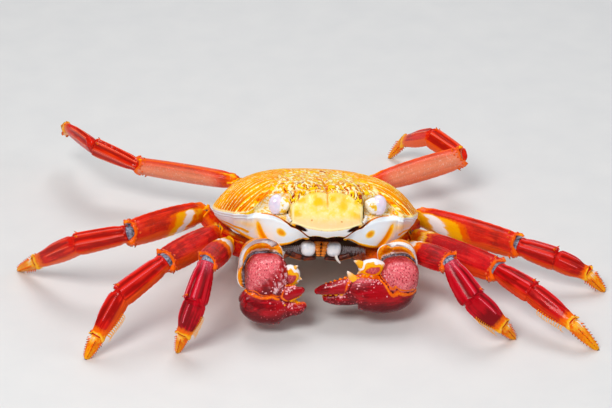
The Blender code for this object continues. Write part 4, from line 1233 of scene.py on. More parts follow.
# %% Make the legs
def make_leg(side, side_name, number):
    """Five dressed pieces of one walking leg."""
    name = side_name + "_" + str(number)
    hint, *joints = (np.array(place, float) for place in LEG_POSES[name])
    points = stub_points(side, LEG_ROOTS[number - 1]) + [world(joint) for joint in joints]
    scale, crimson = LEG_SCALES[number - 1], LEG_CRIMSON[side_name][number - 1]
    blade = BROAD_BLADES.get(name, 0.0)
    for i, (part, form) in enumerate(LEG_FORMS.items(), start=1):
        made = leg_rings(part, points[i], points[i + 1], hint, form, scale, blade)
        rings, t, turn, inner, neck, along, length, facing = made
        rings, ridge = add_ridges(part, rings, t, turn, inner, scale)
        rings = notch(part, rings, t, turn, inner, along, scale, facing)
        rings[..., 2] = np.maximum(rings[..., 2], FLOOR_GAP)
        masks = leg_masks(part, side_name, number, t, turn, inner, neck, crimson, facing)
        # The ridge height also paints highlight on ridge tops and shade in the grooves.
        masks["ridge"] = ridge
        # The place unrolls the tube, and the offset gives every piece its own part of the noise.
        offset = np.array((40.0 * number + 300.0 * (side > 0), 60.0 * i, 0.0))
        unrolled = (t * length, UNROLL_RADIUS * np.cos(turn), UNROLL_RADIUS * np.sin(turn))
        masks["place"] = np.stack(unrolled, axis=-1) + offset
        form_made = Form(rings, masks)
        thorn = {"gold": 0.7, "crimson": crimson, "tip": "tip", "place": offset}
        add_thorns(form_made, part, rings, t, along, scale, thorn)
        # Grains take painted pink sheen and glints, and on the thighs gold too.
        grain = {"gold": 0.45, "pink_and_sheen": 0.3} if part == "thigh" else {"pink_and_sheen": 0.9, "painted_glint": 0.3 * crimson}
        grain = {**grain, "crimson": crimson, "place": offset}
        add_grains(form_made, part, rings, t, grain)
        form_made.dress("leg_" + name + "_" + part, LEG_FINISH, "leg_shell")


for side, side_name in SIDES:
    for number in (1, 2, 3, 4):
        make_leg(side, side_name, number)
    print(side_name, "legs made")

# %% [markdown]
# ## Claws
# A claw has four dressed pieces: the arm, whose end stands like a hood behind the wrist; the
# blocky wrist with its lobed inner tooth; the palm, which runs out into the fixed finger; and
# the moving finger above it. The gold rims and the lines of painted shade in the joints follow
# the gap between two neighbours, so each point asks a search tree how near the next piece is.

# %% Claw poses
CLAW_POSES = {
    "left": {
        "arm": ((25.2, -31.4, 17.8), (27.4, -35.4, 22.0), (26.5, -39.6, 22.2)),
        "arm_spike": ((31.0, -37.0, 16.5), (33.6, -40.4, 13.0), 3.4),
        "wrist": (26.0, -42.6, 18.6),
        "wrist_radii": (7.6, 7.2, 6.8),
        "lobe": (15.8, -42.4, 22.6),
        "lobe_radii": (5.0, 3.4, 3.4),
        "lobe_spikes": (((12.5, -42.4, 23.2), (8.8, -42.0, 25.8), 3.6),
                        ((13.5, -42.8, 21.6), (10.0, -43.0, 20.6), 3.0)),
        "palm": ((30.0, -43.4, 13.6), (26.5, -45.0, 12.4), (20.8, -46.0, 12.4), (14.5, -46.0, 13.4),
                 (9.6, -45.2, 14.2), (5.4, -44.6, 11.8), (1.6, -44.0, 11.2), (-2.0, -43.6, 11.4)),
        "palm_spike": ((9.4, -45.0, 17.6), (6.4, -44.4, 22.4), 4.2),
        "finger": ((9.0, -45.0, 17.4), (5.6, -45.0, 17.0), (1.2, -44.8, 16.4), (-2.6, -44.4, 15.8),
                   (-5.4, -44.0, 15.0)),
    },
    "right": {
        "arm": ((-24.8, -32.4, 19.6), (-26.6, -35.2, 25.0), (-26.2, -38.6, 26.0)),
        "arm_spike": ((-31.8, -36.0, 22.0), (-35.2, -39.0, 19.6), 3.4),
        "wrist": (-24.4, -41.8, 22.1),
        "wrist_radii": (8.2, 7.6, 8.2),
        "lobe": (-15.8, -43.0, 21.8),
        "lobe_radii": (4.0, 3.4, 4.4),
        "lobe_spikes": (((-15.2, -43.2, 23.0), (-12.6, -43.6, 26.4), 3.0),
                        ((-14.6, -43.4, 21.0), (-11.0, -44.0, 20.4), 3.0)),
        "palm": ((-32.0, -42.8, 14.2), (-30.4, -44.2, 12.8), (-27.4, -45.2, 11.6), (-23.6, -46.0, 11.0),
                 (-19.4, -46.8, 11.0), (-16.0, -47.8, 10.6), (-13.4, -48.6, 10.8), (-11.4, -49.2, 12.0)),
        "palm_spike": ((-18.8, -46.2, 14.0), (-18.0, -46.8, 17.6), 3.4),
        "finger": ((-20.0, -47.0, 15.6), (-17.8, -47.8, 17.0), (-15.4, -48.3, 17.8),
                   (-13.6, -48.7, 18.2), (-11.8, -49.0, 18.8)),
    },
}
PALM_SIZES = ((7.6, 6.0), (12.0, 8.8), (14.0, 10.4), (14.0, 10.4), (12.4, 9.2), (6.4, 5.8), (5.0, 4.8),
              (2.8, 3.2))
FINGER_SIZES = ((5.4, 4.6), (6.0, 5.0), (5.2, 4.6), (4.2, 4.0), (2.4, 2.8))
ARM_SIZES = ((7.0, 7.0), (7.4, 7.4), (9.4, 8.8), (15.0, 12.6), (16.4, 14.6))
ARM_GROWTH = {"left": 0.96, "right": 1.08}
WRIST_SQUARENESS = 0.78
WRIST_PINK = {"left": (-0.9, -0.2), "right": (0.1, 0.5)}
HOOD_FLARE = {"left": 0.3, "right": 0.9}
HOOD_WHITE = {"left": 3.35, "right": 3.72}
# Where the hood runs out into a corner: its direction, reach and width.
HOOD_POINTS = {"left": (((-1.0, 0.0, 0.7), 1.8, 0.5), ((0.7, 0.0, -0.8), 0.8, 0.4)),
               "right": (((-0.8, 0.0, -0.8), 2.2, 0.45), ((1.0, 0.0, 0.6), 0.8, 0.4))}
UPWARD = np.array((0.0, 0.25, 1.0))
FINGER_SIDES = 48
CLAW_SIDES = 72
ARM_RIM_STEPS = 12
TRIES_PER_GRAIN = 12
print("claw poses:", ", ".join(CLAW_POSES))


# %% Claw tubes
def lofted(points, sizes, rings, sides, ridge=1.0, round_ends=(True, True)):
    """A smooth tube through points and sizes, with rounded ends, and its along values."""
    points, sizes = np.asarray(points, float), np.asarray(sizes, float)
    spots = np.linspace(0.0, len(points) - 1.0, rings)
    path, size = spline(points, spots), spline(sizes, spots)
    caps = []
    for at in (0, -1):
        along = unit(path[at] - path[1 if at == 0 else -2])
        depth = 0.42 * size[at].min()
        share = np.sin(np.linspace(0.0, 0.5 * math.pi, 8))[1:] if round_ends[at] else np.zeros(0)
        shrink = np.sqrt(np.maximum(0.0, 1.0 - share ** 2))
        caps.append((path[at] + depth * share[:, None] * along, size[at] * shrink[:, None]))
    low, high = caps
    path = np.concatenate((low[0][::-1], path, high[0]))
    size = np.concatenate((low[1][::-1], size, high[1]))
    spots = np.concatenate((np.zeros(len(low[0])), spots, np.full(len(high[0]), spots[-1])))
    grid = tube(path, UPWARD, size[:, 0], size[:, 1], sides, ridge)
    t = np.broadcast_to(spots[:, None], grid.shape[:2])
    turn = np.broadcast_to(turns(sides), grid.shape[:2])
    return grid, t, turn


def flanks(turn, middle, width):
    """Two soft bumps, as far to the left of the upper edge as to its right."""
    return hump(np.abs(turn_gap(turn, 0.0)), middle, width)


def frontal(grid, low, high):
    """How much the surface looks towards the front, from 0 to 1."""
    return rise((outward(grid) * FRONT).sum(axis=-1), low, high)


def nearness(points, others):
    """The distance in millimetres from each point to the nearest of the others."""
    others = np.asarray(others).reshape(-1, 3)
    tree = KDTree(len(others))
    for i, place in enumerate(others):
        tree.insert(place, i)
    tree.balance()
    found = [tree.find(place)[2] for place in points.reshape(-1, 3)]
    return np.array(found).reshape(points.shape[:-1])


def scatter(form, grid, weight, count, size, values, seed):
    """Half sunk round grains on a grid of points, more where the weight is high."""
    draw = random.Random(seed)
    away = outward(grid)
    rows, columns = grid.shape[:2]
    placed = 0
    for _ in range(count * TRIES_PER_GRAIN):
        row, column = draw.randrange(1, rows - 1), draw.randrange(columns)
        if draw.random() > weight[row, column]:
            continue
        radius = size * draw.uniform(0.6, 1.3)
        centre = grid[row, column] - 0.25 * radius * away[row, column]
        form.rings(egg(centre, (radius, radius, radius), sides=8, rows=5), values)
        placed += 1
        if placed == count:
            break


def joint_masks(near, rim=0.6, width=0.3):
    """A gold rim and a line of painted shade beside the next piece."""
    return {"gold": 0.8 * hump(near, rim, width), "painted_shade": 1.0 - rise(near, 0.1, 0.34)}


print("claw tools ready")


# %% Wrists
def wrist_grid(pose):
    """The blocky wrist with a low crease down its front."""
    radii = np.array(pose["wrist_radii"])
    grid = egg((0.0, 0.0, 0.0), radii, sides=CLAW_SIDES, rows=CLAW_SIDES, square=WRIST_SQUARENESS)
    side = -1.0 if pose["wrist"][0] > 0 else 1.0
    local = grid / radii * (side, 1.0, 1.0)
    x, y, z = (local[..., k] for k in range(3))
    crease = hump(x, 0.30 + 0.2 * z, 0.10) * rise(-y, 0.2, 0.7)
    ridge = hump(x, 0.52 + 0.1 * z, 0.12) * rise(-y, 0.0, 0.6)
    grid = raised(grid + world(pose["wrist"]), 0.5 * ridge - 0.55 * crease)
    uneven = 0.3 * lumps(grid, 0.23, 3.0) + 0.12 * lumps(grid, 0.7, 5.0)
    front = frontal(grid, 0.2, 0.8)
    uneven += 1.7 * front * hump(x, 0.55, 0.4) * hump(z, -0.75, 0.35)
    uneven -= 1.0 * front * hump(x, -0.75, 0.3) * hump(z, -0.5, 0.4)
    return raised(grid, uneven), x, z


def wrist_piece(name, pose, palm, arm):
    """Wrist block, lobed tooth and its spikes as one dressed piece."""
    grid, x, z = wrist_grid(pose)
    to_palm, to_arm = nearness(grid, palm), nearness(grid, arm)
    masks = joint_masks(to_palm)
    # Painted shade where the wrist meets the arm.
    masks["painted_shade"] = highest(masks["painted_shade"], 1.0 - rise(to_arm, 0.2, 0.6))
    face = frontal(grid, 0.25, 0.75)
    low, high = WRIST_PINK[name]
    rough = lumps(grid, 0.9, 17.0)
    # Pink on the upper face: partly the wrist's own pink, partly painted sheen.
    pink = face * rise(z - 0.9 * x + 0.25 * rough, low, high)
    masks["pink_and_sheen"] = 0.95 * pink
    masks["gold"] = highest(masks["gold"], (0.75 + 0.4 * rough) * hump(to_arm, 0.9, 0.7))
    streak = hump(x, 0.56 + 0.08 * rough, 0.07) * face * rise(z, -0.8, -0.3)
    masks["pink_and_sheen"] = highest(masks["pink_and_sheen"], streak * rise(rough, -0.3, 0.2))
    masks["place"] = centred(grid)
    masks["crimson"] = 0.7 + 0.3 * rise(x - z, -0.3, 0.7)
    # Painted glints on the wrist's upper face.
    masks["painted_glint"] = 0.8 * face * rise(rough, 0.15, 0.4) * rise(x - 0.6 * z, 0.0, 0.5)
    masks["painted_glint"] *= rise(to_palm, 0.8, 1.4)
    form = Form(grid, masks)
    clear = rise(to_palm, 0.8, 1.6)
    weight = face * rise(x - 0.7 * z, -0.2, 0.7) * clear * (1.0 - 0.8 * pink)
    # Grains with painted glints and pink sheen.
    scatter(form, grid, weight, 60, 0.3, {"pink_and_sheen": 0.6, "painted_glint": 0.6, "crimson": 0.5}, 5)
    middle = hump(np.hypot(x - 0.1, z - 0.05), 0.0, 0.7)
    # Grains lightened by the ridge value as painted highlight.
    scatter(form, grid, pink * middle * clear, 60, 0.26, {"ridge": 0.5, "crimson": 0.7}, 6)
    scatter(form, grid, 0.7 * pink * clear, 50, 0.2, {"pink_and_sheen": 1.0, "crimson": 0.6}, 8)
    add_lobe(form, pose)
    form.dress("claw_" + name + "_wrist", CLAW_FINISH, "claw_shell")


def add_lobe(form, pose):
    """The inner tooth of the wrist: a scalloped dish with a pale edge, and its spikes."""
    radii = np.array(pose["lobe_radii"])
    grid = egg((0.0, 0.0, 0.0), (radii[1], radii[0], radii[2]), sides=48, rows=32)
    grid = grid[..., (1, 0, 2)] * (-1.0, 1.0, 1.0)
    share = np.hypot(grid[..., 0] / radii[0], grid[..., 2] / radii[2])
    angle = np.arctan2(grid[..., 2] / radii[2], grid[..., 0] / radii[0])
    scallop = 1.0 + 0.06 * np.abs(np.sin(3.5 * angle)) * rise(share, 0.6, 1.0)
    dish = 0.9 * hump(share, 0.0, 0.62) * (grid[..., 1] < 0.0)
    grid *= scallop[..., None]
    grid[..., 1] += dish
    blotch = 0.25 * lumps(grid, 0.5, 23.0)
    values = {"pale": rise(share + blotch, 0.66, 1.0), "gold": 1.1 * hump(share + blotch, 0.66, 0.2),
              "pink_and_sheen": 0.7 * hump(share, 0.0, 0.5), "crimson": 0.8, "place": grid}
    form.rings(grid + world(pose["lobe"]), values)
    for root, tip, width in pose["lobe_spikes"]:
        spine(form, world(root), world(tip), width, {"pale": "faint tip", "gold": 1.0, "crimson": 0.5},
              14, 12, (0.0, 0.0, 0.5))


print("wrist recipe ready")


# %% Palms and fingers
# Blunt teeth as their places along the finger and their sizes.
PALM_TEETH = ((4.95, 1.0), (5.45, 0.85), (5.9, 0.75), (6.3, 0.6), (6.65, 0.45))
FINGER_TEETH = ((1.5, 1.0), (2.0, 0.85), (2.5, 0.7), (3.0, 0.6), (3.4, 0.5))
FINGER_CREST = ((0.5, 0.8), (0.95, 1.0), (1.4, 0.9), (1.85, 0.75), (2.3, 0.6), (2.75, 0.5))


def palm_grid(pose):
    """The swollen palm that narrows into the fixed finger."""
    grid, t, turn = lofted(world(pose["palm"]), PALM_SIZES, 130, CLAW_SIDES)
    front = (outward(grid) * FRONT).sum(axis=-1)
    ridge = 0.35 * around(turn, 0.0, 0.2) * rise(t, 0.8, 2.0)
    hollow = -0.5 * hump(t, 4.8, 0.35) * rise(front, 0.2, 0.8)
    step = 0.35 * flanks(turn, 0.85, 0.12) * hump(t, 3.3, 1.0)
    rough = 0.12 * lumps(grid, 0.35, 9.0)
    bulge = 1.5 * rise(front, 0.1, 0.7) * hump(t, 0.5, 0.9) * around(turn, 0.0, 1.3)
    return raised(grid, ridge + hollow + step + rough + bulge), t, turn


def blunt_teeth(form, grid, t, angle, spots, size, gold):
    """A row of blunt teeth on a finger's biting edge."""
    column = int(round(angle / math.tau * grid.shape[1])) % grid.shape[1]
    away = outward(grid)
    for spot, share in spots:
        row = int(np.argmin(np.abs(t[:, 0] - spot)))
        centre = grid[row, column] - 0.1 * size * away[row, column]
        radii = (size * share, size * share, size * share)
        form.rings(egg(centre, radii, sides=12, rows=8), {"gold": gold, "crimson": 0.8})


def palm_piece(name, pose, grid, t, turn, wrist, finger):
    """Palm, fixed finger and the thumb-like spike."""
    to_wrist, to_finger = nearness(grid, wrist), nearness(grid, finger)
    front = frontal(grid, 0.0, 0.7)
    masks = joint_masks(to_wrist, 0.7, 0.5)
    # Painted shade in the gaps to the wrist and the finger.
    masks["painted_shade"] = highest(masks["painted_shade"], (1.0 - rise(to_finger, 0.15, 0.5)) * rise(t, 3.5, 4.2))
    gape = around(turn, 0.0, 0.8) * rise(t, 4.6, 5.2)
    masks["gold"] = highest(masks["gold"], 0.75 * gape)
    rough = lumps(grid, 0.7, 19.0)
    crest = around(turn, 0.0, 0.55) * rise(t, 2.0, 3.0) * (1.0 - rise(t, 4.3, 4.7))
    masks["gold"] = highest(masks["gold"], (0.75 + 0.3 * rough) * crest)
    # Pink painted sheen on the high flanks of the palm.
    high = flanks(turn, 0.75, 0.3)
    masks["pink_and_sheen"] = high * (0.5 * hump(t, 1.2, 0.7) + 0.45 * hump(t, 3.9, 0.5))
    masks["tip"] = 0.75 * rise(t, 6.85, 7.2)
    masks["crimson"] = 0.72 + 0.28 * rise(-np.cos(turn), -0.4, 0.5)
    # Darker towards the underside; lighter on the high flanks as painted highlight.
    masks["ridge"] = -0.55 * rise(-np.cos(turn), -0.1, 0.7) + 0.5 * high * hump(t, 3.2, 1.6)
    # Painted glints on the palm near the wrist.
    masks["painted_glint"] = 0.5 * front * rise(rough, 0.2, 0.45) * hump(t, 0.7, 0.8) * rise(np.cos(turn), 0.1, 0.6)
    masks["place"] = centred(grid)
    form = Form(grid, masks)
    beads = front * flanks(turn, 0.7, 0.5) * rise(t, 1.6, 3.0) * (1.0 - rise(t, 5.0, 6.2))
    beads = beads * rise(to_wrist, 1.2, 2.0)
    # Grains with painted glints and pink sheen.
    scatter(form, grid, beads, 70, 0.4, {"pink_and_sheen": 0.8, "painted_glint": 0.4, "crimson": 0.5}, 11)
    scatter(form, grid, 0.7 * front * rise(t, 1.6, 3.6), 120, 0.22, {"pink_and_sheen": 0.5, "crimson": 0.8}, 12)
    scatter(form, grid, crest * rise(to_wrist, 0.9, 1.6), 26, 0.42, {"gold": 0.9, "crimson": 0.5}, 14)
    root, tip, width = (np.asarray(part) for part in pose["palm_spike"])
    root, tip = world(root - 0.25 * (tip - root)), world(tip + 0.12 * (tip - root))
    spine(form, root, tip, 1.35 * width, {"gold": 1.0, "pale": "faint tip", "crimson": 0.6}, 24, 20)
    blunt_teeth(form, grid, t, 0.1, PALM_TEETH, 0.95, 0.9)
    form.dress("claw_" + name + "_palm", CLAW_FINISH, "claw_shell")


def finger_piece(name, grid, t, turn, palm, wrist):
    """The moving finger with grains on top and teeth below."""
    to_palm = np.minimum(nearness(grid, palm), nearness(grid, wrist))
    # A gold rim and painted shade beside the palm and wrist.
    masks = joint_masks(to_palm, 0.8, 0.4)
    masks["painted_shade"] *= 1.0 - rise(t, 0.8, 1.6)
    masks["gold"] *= 1.0 - rise(t, 0.8, 1.6)
    masks["gold"] += 0.6 * around(turn, math.pi, 0.6) * rise(t, 0.8, 1.4)
    masks["gold"] += 0.45 * around(turn, 0.0, 0.35) * hump(t, 1.3, 0.6)
    # Pink painted sheen on the finger's flanks.
    masks["pink_and_sheen"] = 0.35 * flanks(turn, 0.8, 0.4) * hump(t, 1.2, 0.9)
    masks["tip"] = 0.5 * rise(t, 3.7, 4.1)
    masks["crimson"] = 0.85
    masks["place"] = centred(grid)
    form = Form(grid, masks)
    front = frontal(grid, 0.0, 0.7)
    beads = front * flanks(turn, 0.6, 0.5) * (1.0 - rise(t, 2.2, 3.4))
    # Grains with painted sheen and glints.
    scatter(form, grid, beads, 40, 0.34, {"pink_and_sheen": 0.9, "painted_glint": 0.5, "crimson": 0.7}, 13)
    blunt_teeth(form, grid, t, 0.0, FINGER_CREST, 0.8, 0.75)
    blunt_teeth(form, grid, t, math.pi, FINGER_TEETH, 0.9, 0.9)
    form.dress("claw_" + name + "_finger", CLAW_FINISH, "claw_shell")


print("palm and finger recipes ready")


# %% Arms
def arm_grid(name, side, pose):
    """The arm, swollen towards its end, whose end face is folded in like a hood."""
    _, joint, start = stub_points(side, CLAW_ROOT)
    after = unit(start - joint)
    points = [joint - 1.2 * after, start, *(world(point) for point in pose["arm"])]
    sizes = np.array(ARM_SIZES)
    sizes[2:] *= ARM_GROWTH[name]
    grid, t, turn = lofted(points, sizes, 80, CLAW_SIDES, 0.9, (True, False))
    flare = HOOD_FLARE[name] * rise(t, 3.2, 4.0)
    forward = unit(points[-1] - points[-2])
    upper = unit(UPWARD - (UPWARD @ forward) * forward)
    for way, reach, wide in HOOD_POINTS[name]:
        angle = math.atan2(way @ np.cross(forward, upper), way @ upper)
        flare += reach * around(turn, angle, wide) * rise(t, 2.9, 4.0)
    grid = raised(grid, flare)
    last = grid[-1]
    share = np.linspace(0.0, 1.0, ARM_RIM_STEPS + 1)[1:]
    bulge = 0.5 * np.sin(np.minimum(1.0, share / 0.2) * math.pi / 2)
    reach = bulge - 2.2 * rise(share, 0.15, 0.8)
    fold = last + share[:, None, None] * 0.62 * (last.mean(axis=0) - last) + reach[:, None, None] * forward
    grid = np.concatenate((grid, fold))
    t = np.concatenate((t, np.broadcast_to((4.0 + share)[:, None], fold.shape[:2])))
    turn = np.concatenate((turn, np.broadcast_to(turn[0], fold.shape[:2])))
    return grid, t, turn


def arm_piece(name, pose, grid, t, wrist):
    """Arm with a white outer edge, an orange band, grey soft skin and painted shade round the wrist."""
    near = nearness(grid, wrist)
    face = rise(t, 4.0, 4.03)
    lip = 1.0 - face
    masks = {"crimson": 0.75, "place": centred(grid)}
    masks["skin"] = face * (1.0 - rise(near, 0.75, 0.95))
    # Painted shade in the gap round the wrist.
    masks["painted_shade"] = face * (hump(near, 0.95, 0.22) + 0.9 * (1.0 - rise(near, 0.1, 0.4)))
    edge = lip * rise(t, HOOD_WHITE[name], 0.1 + HOOD_WHITE[name]) + face * fall(t, 4.08, 0.04)
    inner = face * fall(near, 1.9, 0.25) * rise(t, 4.2, 4.3)
    masks["pale"] = np.maximum(1.1 * edge, 0.62 * inner) + 0.3 * lip * hump(t, 3.1, 0.2)
    masks["gold"] = 0.5 + 0.32 * rise(t, 2.4, 3.2)
    form = Form(grid, masks)
    root, tip, width = pose["arm_spike"]
    spine(form, world(root), world(tip), width, {"pale": 0.9, "gold": 0.4, "crimson": 0.5}, 18, 14)
    form.dress("claw_" + name + "_arm", CLAW_FINISH, "claw_shell")


for side, name in SIDES:
    pose = CLAW_POSES[name]
    palm = palm_grid(pose)
    finger = lofted(world(pose["finger"]), FINGER_SIZES, 80, FINGER_SIDES)
    wrist = wrist_grid(pose)[0]
    arm = arm_grid(name, side, pose)
    palm_piece(name, pose, *palm, wrist, finger[0])
    finger_piece(name, *finger, palm[0], wrist)
    wrist_piece(name, pose, palm[0], arm[0])
    arm_piece(name, pose, *arm[:2], wrist)
    print(name, "claw made")

# %% [markdown]
# ## Eyes
# The short eye stalk lies across the socket and carries the oval eye at its outer end. The
# facets are far too small to see, so the eye is smooth and wet, lilac with a darker middle of
# painted shade.

# %% Eyes
EYE_CENTRE = (20.0, -30.4, 6.8)
EYE_RADII = (2.9, 2.5, 3.7)
STALK_START = (15.3, -31.2, 5.4)
EYE_SEAM_X = 18.1
EYE_SIDES = 64
EYE_SWELL = 1.04
EYE_NUDGE = {"left": (0.2, 0.0, -0.2), "right": (1.0, 0.0, -0.8)}


def eye_finish():
    """Lilac cornea with faint facets, a darker middle of painted shade and a darker lilac seam by the stalk.
    """
    finish = Finish("eye_finish", Coat_Roughness=0.03, Coat_IOR=1.5, Roughness=0.18)
    where, value = finish.place(), finish.value
    cloud = finish.mottle(where, 0.5, 3.0)
    colour = finish.mix(cloud.rise(0.4, 0.62), "ece6fb", "fae8f8")
    # The darker middle is painted shade; the edge is a darker seam beside the stalk.
    colour = finish.over(
        colour,
        (value("middle") * 0.5, "d8bcdc"),
        (value("edge") * 0.6, "b9b4da"))
    facets = finish.grains(where, 9.0)
    normal = finish.bump(facets, 0.00001, 0.3)
    rough = 0.10 + cloud * 0.12
    return finish.use(colour, rough, normal, 0.9)


def stalk_finish():
    """White and yellow stalk with orange spots."""
    finish = Finish("stalk_finish", Coat_Roughness=0.06, Coat_IOR=1.5)
    where, value = finish.place(), finish.value
    spots = finish.mottle(where, 0.42, 2.0)
    fine = finish.mottle(where, 1.6, 2.0)
    colour = finish.mix(spots.rise(0.50, 0.58), "fffbf0", "ffd21e")
    colour = finish.over(
        colour,
        (spots.rise(0.62, 0.70) * 0.8, "f59a18"),
        (value("edge").rise(0.3, 0.9), "f6e9f0"))
    normal = finish.bump(fine, 0.00004, 0.6)
    return finish.use(colour, 0.2 + fine * 0.15, normal, 0.8)


EYE_FINISH, STALK_FINISH = eye_finish(), stalk_finish()


def make_eye(side, name):
    """The oval eye and its stalk."""
    nudge = np.array(EYE_NUDGE[name])
    grid = egg((0.0, 0.0, 0.0), EYE_RADII, sides=EYE_SIDES, rows=EYE_SIDES // 2)
    x, z = grid[..., 0] / EYE_RADII[0] * side, grid[..., 2] / EYE_RADII[2]
    masks = {"place": grid, "middle": hump(x, 0.25, 0.3) * hump(z, 0.35, 0.35),
             "edge": hump(x, -0.62, 0.10)}
    grid = grid - 0.12 * hump(x, -0.66, 0.06)[..., None] * outward(grid)
    form = Form(standing(grid * EYE_SWELL + mirrored(EYE_CENTRE, side) + nudge), masks)
    form.dress("eye_" + name, EYE_FINISH, "eye")

    start, seam = mirrored(STALK_START, side), mirrored((EYE_SEAM_X, *EYE_CENTRE[1:]), side)
    points = np.array((start, start + 0.5 * (seam - start), seam + (side, 0.0, 0.0)))
    sizes = ((4.4, 3.6), (6.2, 4.6), (6.5, 4.9))
    spots = np.linspace(0.0, 2.0, 40)
    path, size = spline(points, spots), spline(sizes, spots)
    swell = np.sqrt(np.minimum(1.0, (spots + 0.06) / 0.5)) * (1.0 - 0.08 * hump(spots, 1.8, 0.08))
    path = standing(path + nudge)
    grid = tube(path, BODY_UP, size[:, 0] * swell, size[:, 1] * swell, 40, 1.0)
    form = Form(grid, {"place": grid + 7.0 * side, "edge": rise(spots, 1.72, 1.95)[:, None]})
    form.dress("eyestalk_" + name, STALK_FINISH, "shell_pale")


for side, name in SIDES:
    make_eye(side, name)
print("eyes made")

# %% [markdown]
# ## Mouth
# Under the front plate lie the two white jaw teeth, brown folded mouth plates with brushes of
# bristles, and a pair of orange feelers between the jaws. The inside of the mouth is closed by
# the chest, which is painted dark brown there as shade.

# %% Mouth
MOUTH_PLATE_PATH = ((16.5, -26.6, -11.6), (13.2, -27.6, -12.4), (9.6, -27.0, -14.0),
                    (5.6, -26.6, -14.9), (1.6, -26.6, -14.8))
MOUTH_PLATE_SIZES = ((1.6, 1.6), (2.5, 2.2), (2.3, 2.2), (1.8, 2.0), (1.4, 1.6))


def jaw_finish():
    """White, hard and wet, a little amber at the biting edge."""
    finish = Finish("jaw_finish", Coat_Roughness=0.05)
    where, value = finish.place(), finish.value
    cloud = finish.mottle(where, 0.7, 3.0)
    colour = finish.mix(cloud.rise(0.4, 0.7), "fbfbff", "e6ecf8")
    colour = finish.mix(value("edge") * (0.4 + cloud), colour, "c98a62")
    normal = finish.bump(finish.mottle(where, 2.4, 3.0), 0.00004, 0.5)
    return finish.use(colour, 0.16 + cloud * 0.16, normal, 0.8)


def mouth_finish():
    """Orange and brown plates, with pale bristles, white tips and painted shade in the folds by masks."""
    finish = Finish("mouth_finish", Coat_Roughness=0.1, Specular_IOR_Level=0.3)
    where, value = finish.place(), finish.value
    cloud = finish.mottle(where, 0.45, 4.0)
    fine = finish.mottle(where, 1.8, 3.0)
    colour = finish.mix(cloud.rise(0.40, 0.66), "34100a", "8a3208")
    colour = finish.over(
        colour,
        (fine.rise(0.55, 0.7) * 0.7, "2a0c06"),
        (value("gold"), "f78c1a"),
        (value("hair"), finish.mix(fine, "8c8790", "d4ccd0")),
        (value("pale"), "f6f1ea"),
        (value("painted_shade") * 0.9, SHADE_BROWN))
    normal = finish.bump(fine, 0.00006, 0.7)
    return finish.use(colour, 0.34 + fine * 0.25 + value("painted_shade") * 0.3, normal, 0.25)


JAW_FINISH, MOUTH_FINISH = jaw_finish(), mouth_finish()
MOUTH_HOOKS = {
    "right": ((-15.4, -29.0, -12.2), (-16.0, -29.6, -13.8), (-17.4, -30.0, -15.4)),
    "left": ((4.8, -28.4, -13.4), (5.3, -29.2, -14.9), (6.5, -29.6, -16.2)),
}


FEELER_PATH = ((1.5, -28.0, -7.2), (1.35, -28.4, -9.6), (1.1, -28.4, -11.8), (0.9, -28.0, -13.6))
SHORT_FEELER_PATH = ((15.1, -33.6, 2.4), (14.6, -34.4, 1.2), (13.9, -34.9, 0.2))


def mouth_place(side, points):
    """Body coordinates of one side's mouth part, in the standing pose."""
    return standing(mirrored(points, side) + (MOUTH_MIDDLE, 0.0, 0.0))


def make_jaw(side, name):
    """The white jaw tooth, straight above and rounded below."""
    grid = egg((0.0, 0.0, 0.0), (JAW_RADII[2], JAW_RADII[1], JAW_RADII[0]), sides=44, rows=36, square=0.8)
    grid = grid[..., (2, 1, 0)]
    high = grid[..., 2] / JAW_RADII[2]
    grid[..., 0] *= 1.0 + 0.10 * rise(high, -0.6, 0.4)
    edge = hump(high, 1.0, 0.2) + 0.4 * hump(high, -1.0, 0.12)
    form = Form(mouth_place(side, grid + JAW_CENTRE), {"place": grid, "edge": edge})
    form.dress("jaw_" + name, JAW_FINISH, "shell_pale")


def bristles(form, roots, way, length, width, seed, values, spread=0.25):
    """Fine hairs from the given roots, each a thin bent spine."""
    draw = random.Random(seed)
    for root in roots:
        stray = np.array([draw.uniform(-spread, spread) for _ in range(3)])
        reach = (unit(np.asarray(way, float)) + stray) * length * draw.uniform(0.65, 1.15)
        bend = np.array([draw.uniform(-0.12, 0.12) for _ in range(3)]) * length
        spine(form, root, np.asarray(root) + reach, width, values, 5, 5, bend)


